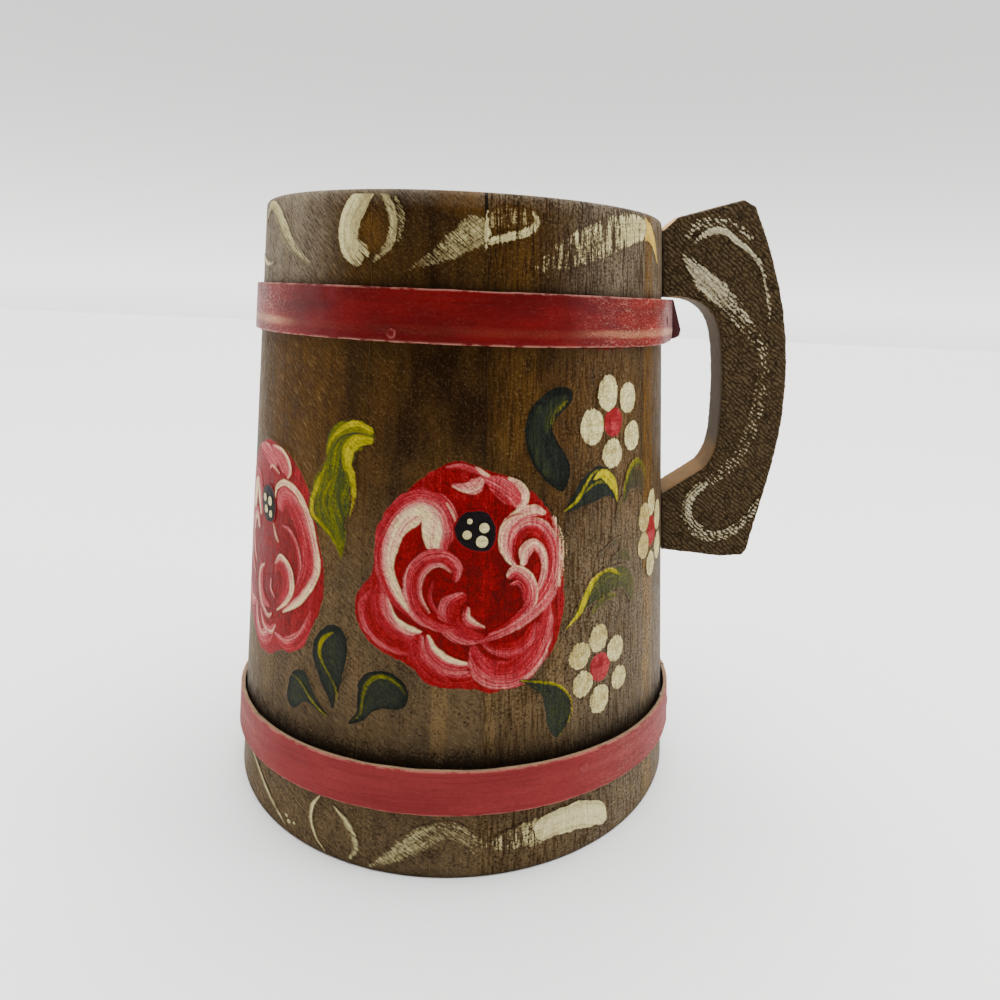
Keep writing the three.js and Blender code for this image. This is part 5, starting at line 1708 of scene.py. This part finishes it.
def sawnWood():
    material, tree, surface = startMaterial("sawnWood")
    spot = onObject(tree)
    sawn = sawnSurface(tree)
    flatSide = attribute(tree, "flatSide")
    fibre = longNoise(tree, spot, (1, 1, 0.25), 1100, 3, 0.6)
    cloud = noiseAt(tree, spot, 160, 3)
    narrow = blend(tree, spread(tree, fibre, 0.3, 0.7), handle["narrowDark"], handle["narrow"])
    aged = times(tree, attribute(tree, "bare"), spread(tree, cloud, 0.3, 0.6, 0.55, 1.0))
    narrow = blend(tree, aged, narrow, handle["bare"])
    color = blend(tree, flatSide, narrow, sawn["color"])
    color = blend(tree, attribute(tree, "chafed"), color, handle["rootBare"])
    rough = spread(tree, fibre, 0.3, 0.7, 0.6, 0.8)
    relief = spread(tree, flatSide, 0, 1, times(tree, fibre, 0.4), sawn["ridge"])
    finishMaterial(tree, surface, color, rough, 0.04, bump(tree, relief, handle["relief"]))
    return material


def numbersOf(mesh, key):
    values = np.zeros(len(mesh.vertices) * 3, np.float32)
    mesh.vertices.foreach_get(key, values)
    return values.reshape(-1, 3).astype(float)


def addHandle():
    piece = addObject("sawn_handle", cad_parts["handle"].data.copy())
    piece.data.materials.clear()
    weld = piece.modifiers.new("weld", "WELD")
    weld.merge_threshold = 0.00001
    remesh = piece.modifiers.new("fine", "REMESH")
    remesh.mode, remesh.voxel_size, remesh.use_smooth_shade = "VOXEL", handle["voxel"] * mm, True
    mesh = plainMesh(piece).data
    places, normals = numbersOf(mesh, "co"), numbersOf(mesh, "normal")
    s, y, z = (places[:, 0] - axis["x"]) / mm, (places[:, 1] - axis["y"]) / mm, places[:, 2] / mm
    flat = smoothStep(np.abs(normals[:, 1]), 0.55, 0.85)
    clear = smoothStep(np.hypot(s, y) - outerRadius(z), 0.2, 0.9)
    rim = smoothStep(np.abs(y), handle["thickness"] / 2 - 1.8, handle["thickness"] / 2 - 0.2)
    depth = (1 - flat) * handle["edgeDepth"] * softNoise(s / 1.1 + y / 3, z / 1.1, 63)
    depth += rim * handle["rimDepth"] * softNoise(s / 0.9, z / 0.9, 64) * (1 - flat * 0.5)
    corners = np.zeros(len(mesh.loops), np.int32)
    mesh.loops.foreach_get("vertex_index", corners)
    layer = mesh.uv_layers.new(name="flat")
    layer.data.foreach_set("uv", (np.column_stack([s, z]) * mm).astype(np.float32)[corners].ravel())
    places -= normals * (depth * clear * mm)[:, None]
    mesh.vertices.foreach_set("co", places.astype(np.float32).ravel())
    inner = (1 - flat) * smoothStep(-normals[:, 0] + 0.6 * normals[:, 2], 0.3, 0.8)
    sill = inner * smoothStep(z, 92, 97) * (1 - smoothStep(z, 107, 114)) * smoothStep(s, 56, 60)
    outward = (1 - flat) * rim * smoothStep(normals[:, 0] - 0.6 * normals[:, 2], 0.2, 0.7)
    worn = outward * smoothStep(softNoise(s / 1.2, z / 1.2, 66), 0.35, 0.6) * 0.45
    root = (1 - flat) * (z > taper["height"] - 6) * (s < 63.6) * smoothStep(normals[:, 2], 0.3, 0.6)
    marks = {"flatSide": flat, "bare": sill, "chafed": np.maximum(worn, root)}
    for key, numbers in marks.items():
        layer = mesh.attributes.new(key, "FLOAT", "POINT")
        layer.data.foreach_set("value", numbers.astype(np.float32))
    mesh.materials.append(sawnWood())
    smoothed(piece, 70)
    return seat(piece, "sawn_dark_wood", "handle")


def lies(ground, place):
    start = handlePlane @ Vector((place[0] * mm, place[1] * mm, 5 * mm))
    start = ground.matrix_world.inverted() @ start
    hit, _, normal, _ = ground.ray_cast(start, Vector((0, 1, 0)), distance=8 * mm)
    return hit and normal.y < -0.9


sawnHandle = addHandle()
print("handle sawn")

handleStrokes = [
    ([(68.4, 171.6, 0.3), (71.6, 174.6, 0.9), (75.2, 176.2, 1.2), (78.6, 175.8, 1.1), (82.2, 173.4, 1.0),
      (85.8, 171, 0.8), (89, 167.8, 0.7), (91.4, 163.4, 0.5), (93.6, 157, 0.5), (95.2, 149, 0.4)],
     {"dry": [0.3, 0.1, 0.1, 0.2, 0.2, 0.3, 0.5]}),
    ([(66.6, 173.4, 0.6), (69.4, 177.2, 1.3), (74, 179.2, 1.3), (80, 178.2, 1.2),
      (86, 174, 0.9)], {"dry": 0.55}),
    ([(66.4, 168.8, 0.5), (69.6, 165.4, 1.9), (74, 161.4, 3.0), (79, 157.2, 3.2), (84, 152.6, 2.8),
      (88.6, 148.2, 1.9),
      (92.6, 143.6, 0.8)], {"dry": [0.36, 0.20, 0.18, 0.22, 0.34, 0.50, 0.68]}),
    ([(88, 147.6, 1.4), (93, 142, 1.8), (95, 134, 1.8), (94.8, 126, 1.9), (93.4, 117, 1.9),
      (90.4, 108, 2.0),
      (86, 102, 1.8), (81.6, 98.4, 1.4)], {"dry": [0.62, 0.70, 0.78, 0.82, 0.80, 0.76, 0.70, 0.60]}),
    ([(80.8, 97.8, 0.8), (78, 95.4, 1.7), (75.6, 91.8, 1.9), (75.2, 87.4, 1.7), (77.4, 83.2, 1.9),
      (81, 80.4, 2.1),
      (85.2, 79.6, 1.9), (89.6, 80.8, 1.7), (93.6, 84, 1.6), (97, 88.4, 1.6), (99.8, 93, 1.4),
      (102, 98, 0.8)],
     {"dry": [0.32, 0.22, 0.28, 0.40, 0.44, 0.40, 0.48, 0.52, 0.60]}),
]


def paintHandle():
    sheet = newSheet(51)
    for points, more in handleStrokes:
        sweep(sheet, points, 0.9, 0.75, **more)
    paint = paintMaterial("handlePaint", [
        (0.0, (0.12, 0.085, 0.045)), (0.5, (0.27, 0.225, 0.13)), (1.0, (0.50, 0.45, 0.29)),
    ], {"bristles": 1700, "pull": 0.30, "mottle": 0.15, "speck": 0.2, "grain": 0.25, "thin": 0.8,
        "gloss": (0.5, 0.7), "hairy": 0.42}, sawnSurface)
    paintedPiece(sheet, "handle_strokes", paint, "cream_paint", ground=sawnHandle)


paintHandle()
print("handle painted")


# Brads: domed heads on pointed shanks, copied on to the straps by Geometry Nodes

brads = {
    "head": 1.5,
    "dome": 0.17,
    "shank": 0.7,
    "length": 5.0,
    "rim": 0.06,
    "around": 24,
    "above": 0.03,
    "insets": 11.0,
    "front": {"upper": (-101.0, -4.3), "lower": (-56.5, 2.0)},
    "back": {"upper": (100.0, 0.0), "lower": (130.0, 0.0)},
    "colors": {"upper": (0.074, 0.0022, 0.0028), "lower": (0.145, 0.014, 0.016)},
    "ringColor": (0.30, 0.085, 0.075),
    "ringShare": {"upper": 0.70, "lower": 0.20},
    "relief": 0.1,
}


def bradShape():
    head, dome, shank, length, rim = (brads[key] for key in ("head", "dome", "shank", "length", "rim"))
    profile = [(0.0, -length), (shank, 2 * shank - length), (shank, 0.0), (head * 0.96, 0.0), (head, rim)]
    profile += [(head * math.cos(a), rim + (dome - rim) * math.sin(a))
                for a in np.radians((20, 32, 40, 48, 56, 70))]
    places, faces = turnedShape([*profile, (0.0, dome)], brads["around"])
    radius = np.hypot(places[:, 0], places[:, 1]) / head
    ring = np.clip(1 - np.abs(radius - 0.64) / 0.20, 0, 1)
    return newPiece("brad", places, faces, {"ring": ring})


def bradSpots(key):
    strap = straps[key]
    half = math.degrees(straps["seamGap"] / 2 / outerRadius(strap["middle"]))
    inset = half * (1 + 2 * brads["insets"] / straps["seamGap"])
    spots = [(inset, 0.0), brads["back"][key], brads["front"][key], (-inset, 0.0)]
    places = []
    for azimuth, rise in spots:
        lift = straps["fit"] + looseAt(strap, azimuth) + straps["thickness"] + brads["above"]
        places.append((drawn(azimuth), strapMiddle(strap, azimuth) + rise, lift))
    return places


def bradPaint(name, color, ringShare):
    material, tree, surface = startMaterial(name)
    spot = onObject(tree)
    patch = noiseAt(tree, spot, 900, 3)
    worn = tuple(1.5 * part + 0.006 for part in color)
    color = blend(tree, spread(tree, patch, 0.35, 0.75), color, worn)
    # a lighter ring on each head
    worn = times(tree, attribute(tree, "ring"), spread(tree, patch, 0.38, 0.56, 0.1, ringShare))
    color = blend(tree, worn, color, brads["ringColor"])
    rough = spread(tree, patch, 0.3, 0.7, 0.3, 0.5)
    finishMaterial(tree, surface, color, rough, 0.08, bump(tree, patch, brads["relief"], 0.7))
    return material


def addBrads():
    for key in ("upper", "lower"):
        paint = bradPaint(f"{key}BradPaint", brads["colors"][key], brads["ringShare"][key])
        places = bradSpots(key)
        piece = newPiece(f"{key}_brads", np.array(places) * mm, [], {"size": np.full((len(places), 3), mm)})
        shape = bradShape()
        runTree(piece, copiesRoundTaper, paint, Shape=shape, Ragged=0.0, Seed=1.0)
        bpy.data.objects.remove(shape)
        smoothed(piece, 40)
        seat(piece, "painted_brad", *(f"{key}_hoop_brad_{i}" for i in range(1, 5)))


addBrads()
print("brads driven")


# Bottom board, turned with eased edges, and the dowels, which keep their CAD mesh

board = {"edge": 0.5, "tongue": 5.0, "clear": 0.6, "ringStep": 6, "around": 144}


def addBoard():
    low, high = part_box("bottom_board")
    under, top = low.z / mm, high.z / mm
    tongue = (high.x - low.x) / 2 / mm
    shoulder = under + board["tongue"]
    rise = outerRadius(shoulder) - wallAt(shoulder) - board["clear"]
    upper = outerRadius(top) - wallAt(top) - board["clear"]
    ease, step = board["edge"], board["ringStep"]
    profile = [(0, under), *((r, under) for r in np.arange(step, tongue - ease, step)),
               (tongue - ease, under), (tongue, under + ease), (tongue, shoulder - ease),
               (tongue - ease, shoulder), (rise, shoulder), (upper, top - ease), (upper - ease, top),
               *((r, top) for r in np.arange(60, 2, -step) if r < upper - 2), (0, top)]
    places, faces = turnedShape(profile, board["around"])
    piece = newPiece("round_board", places * mm + (axis["x"], axis["y"], 0), faces)
    piece.data.materials.append(bareWood("boardWood", alongX=True))
    smoothed(piece, 35)
    return seat(piece, "bare_wood", "bottom_board")


addBoard()
dowelWood = bareWood("dowelWood", alongX=True)
for name in ("handle_dowel_upper", "handle_dowel_lower"):
    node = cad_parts[name]
    node.data.materials.clear()
    node.data.materials.append(dowelWood)
print("board and dowels finished")
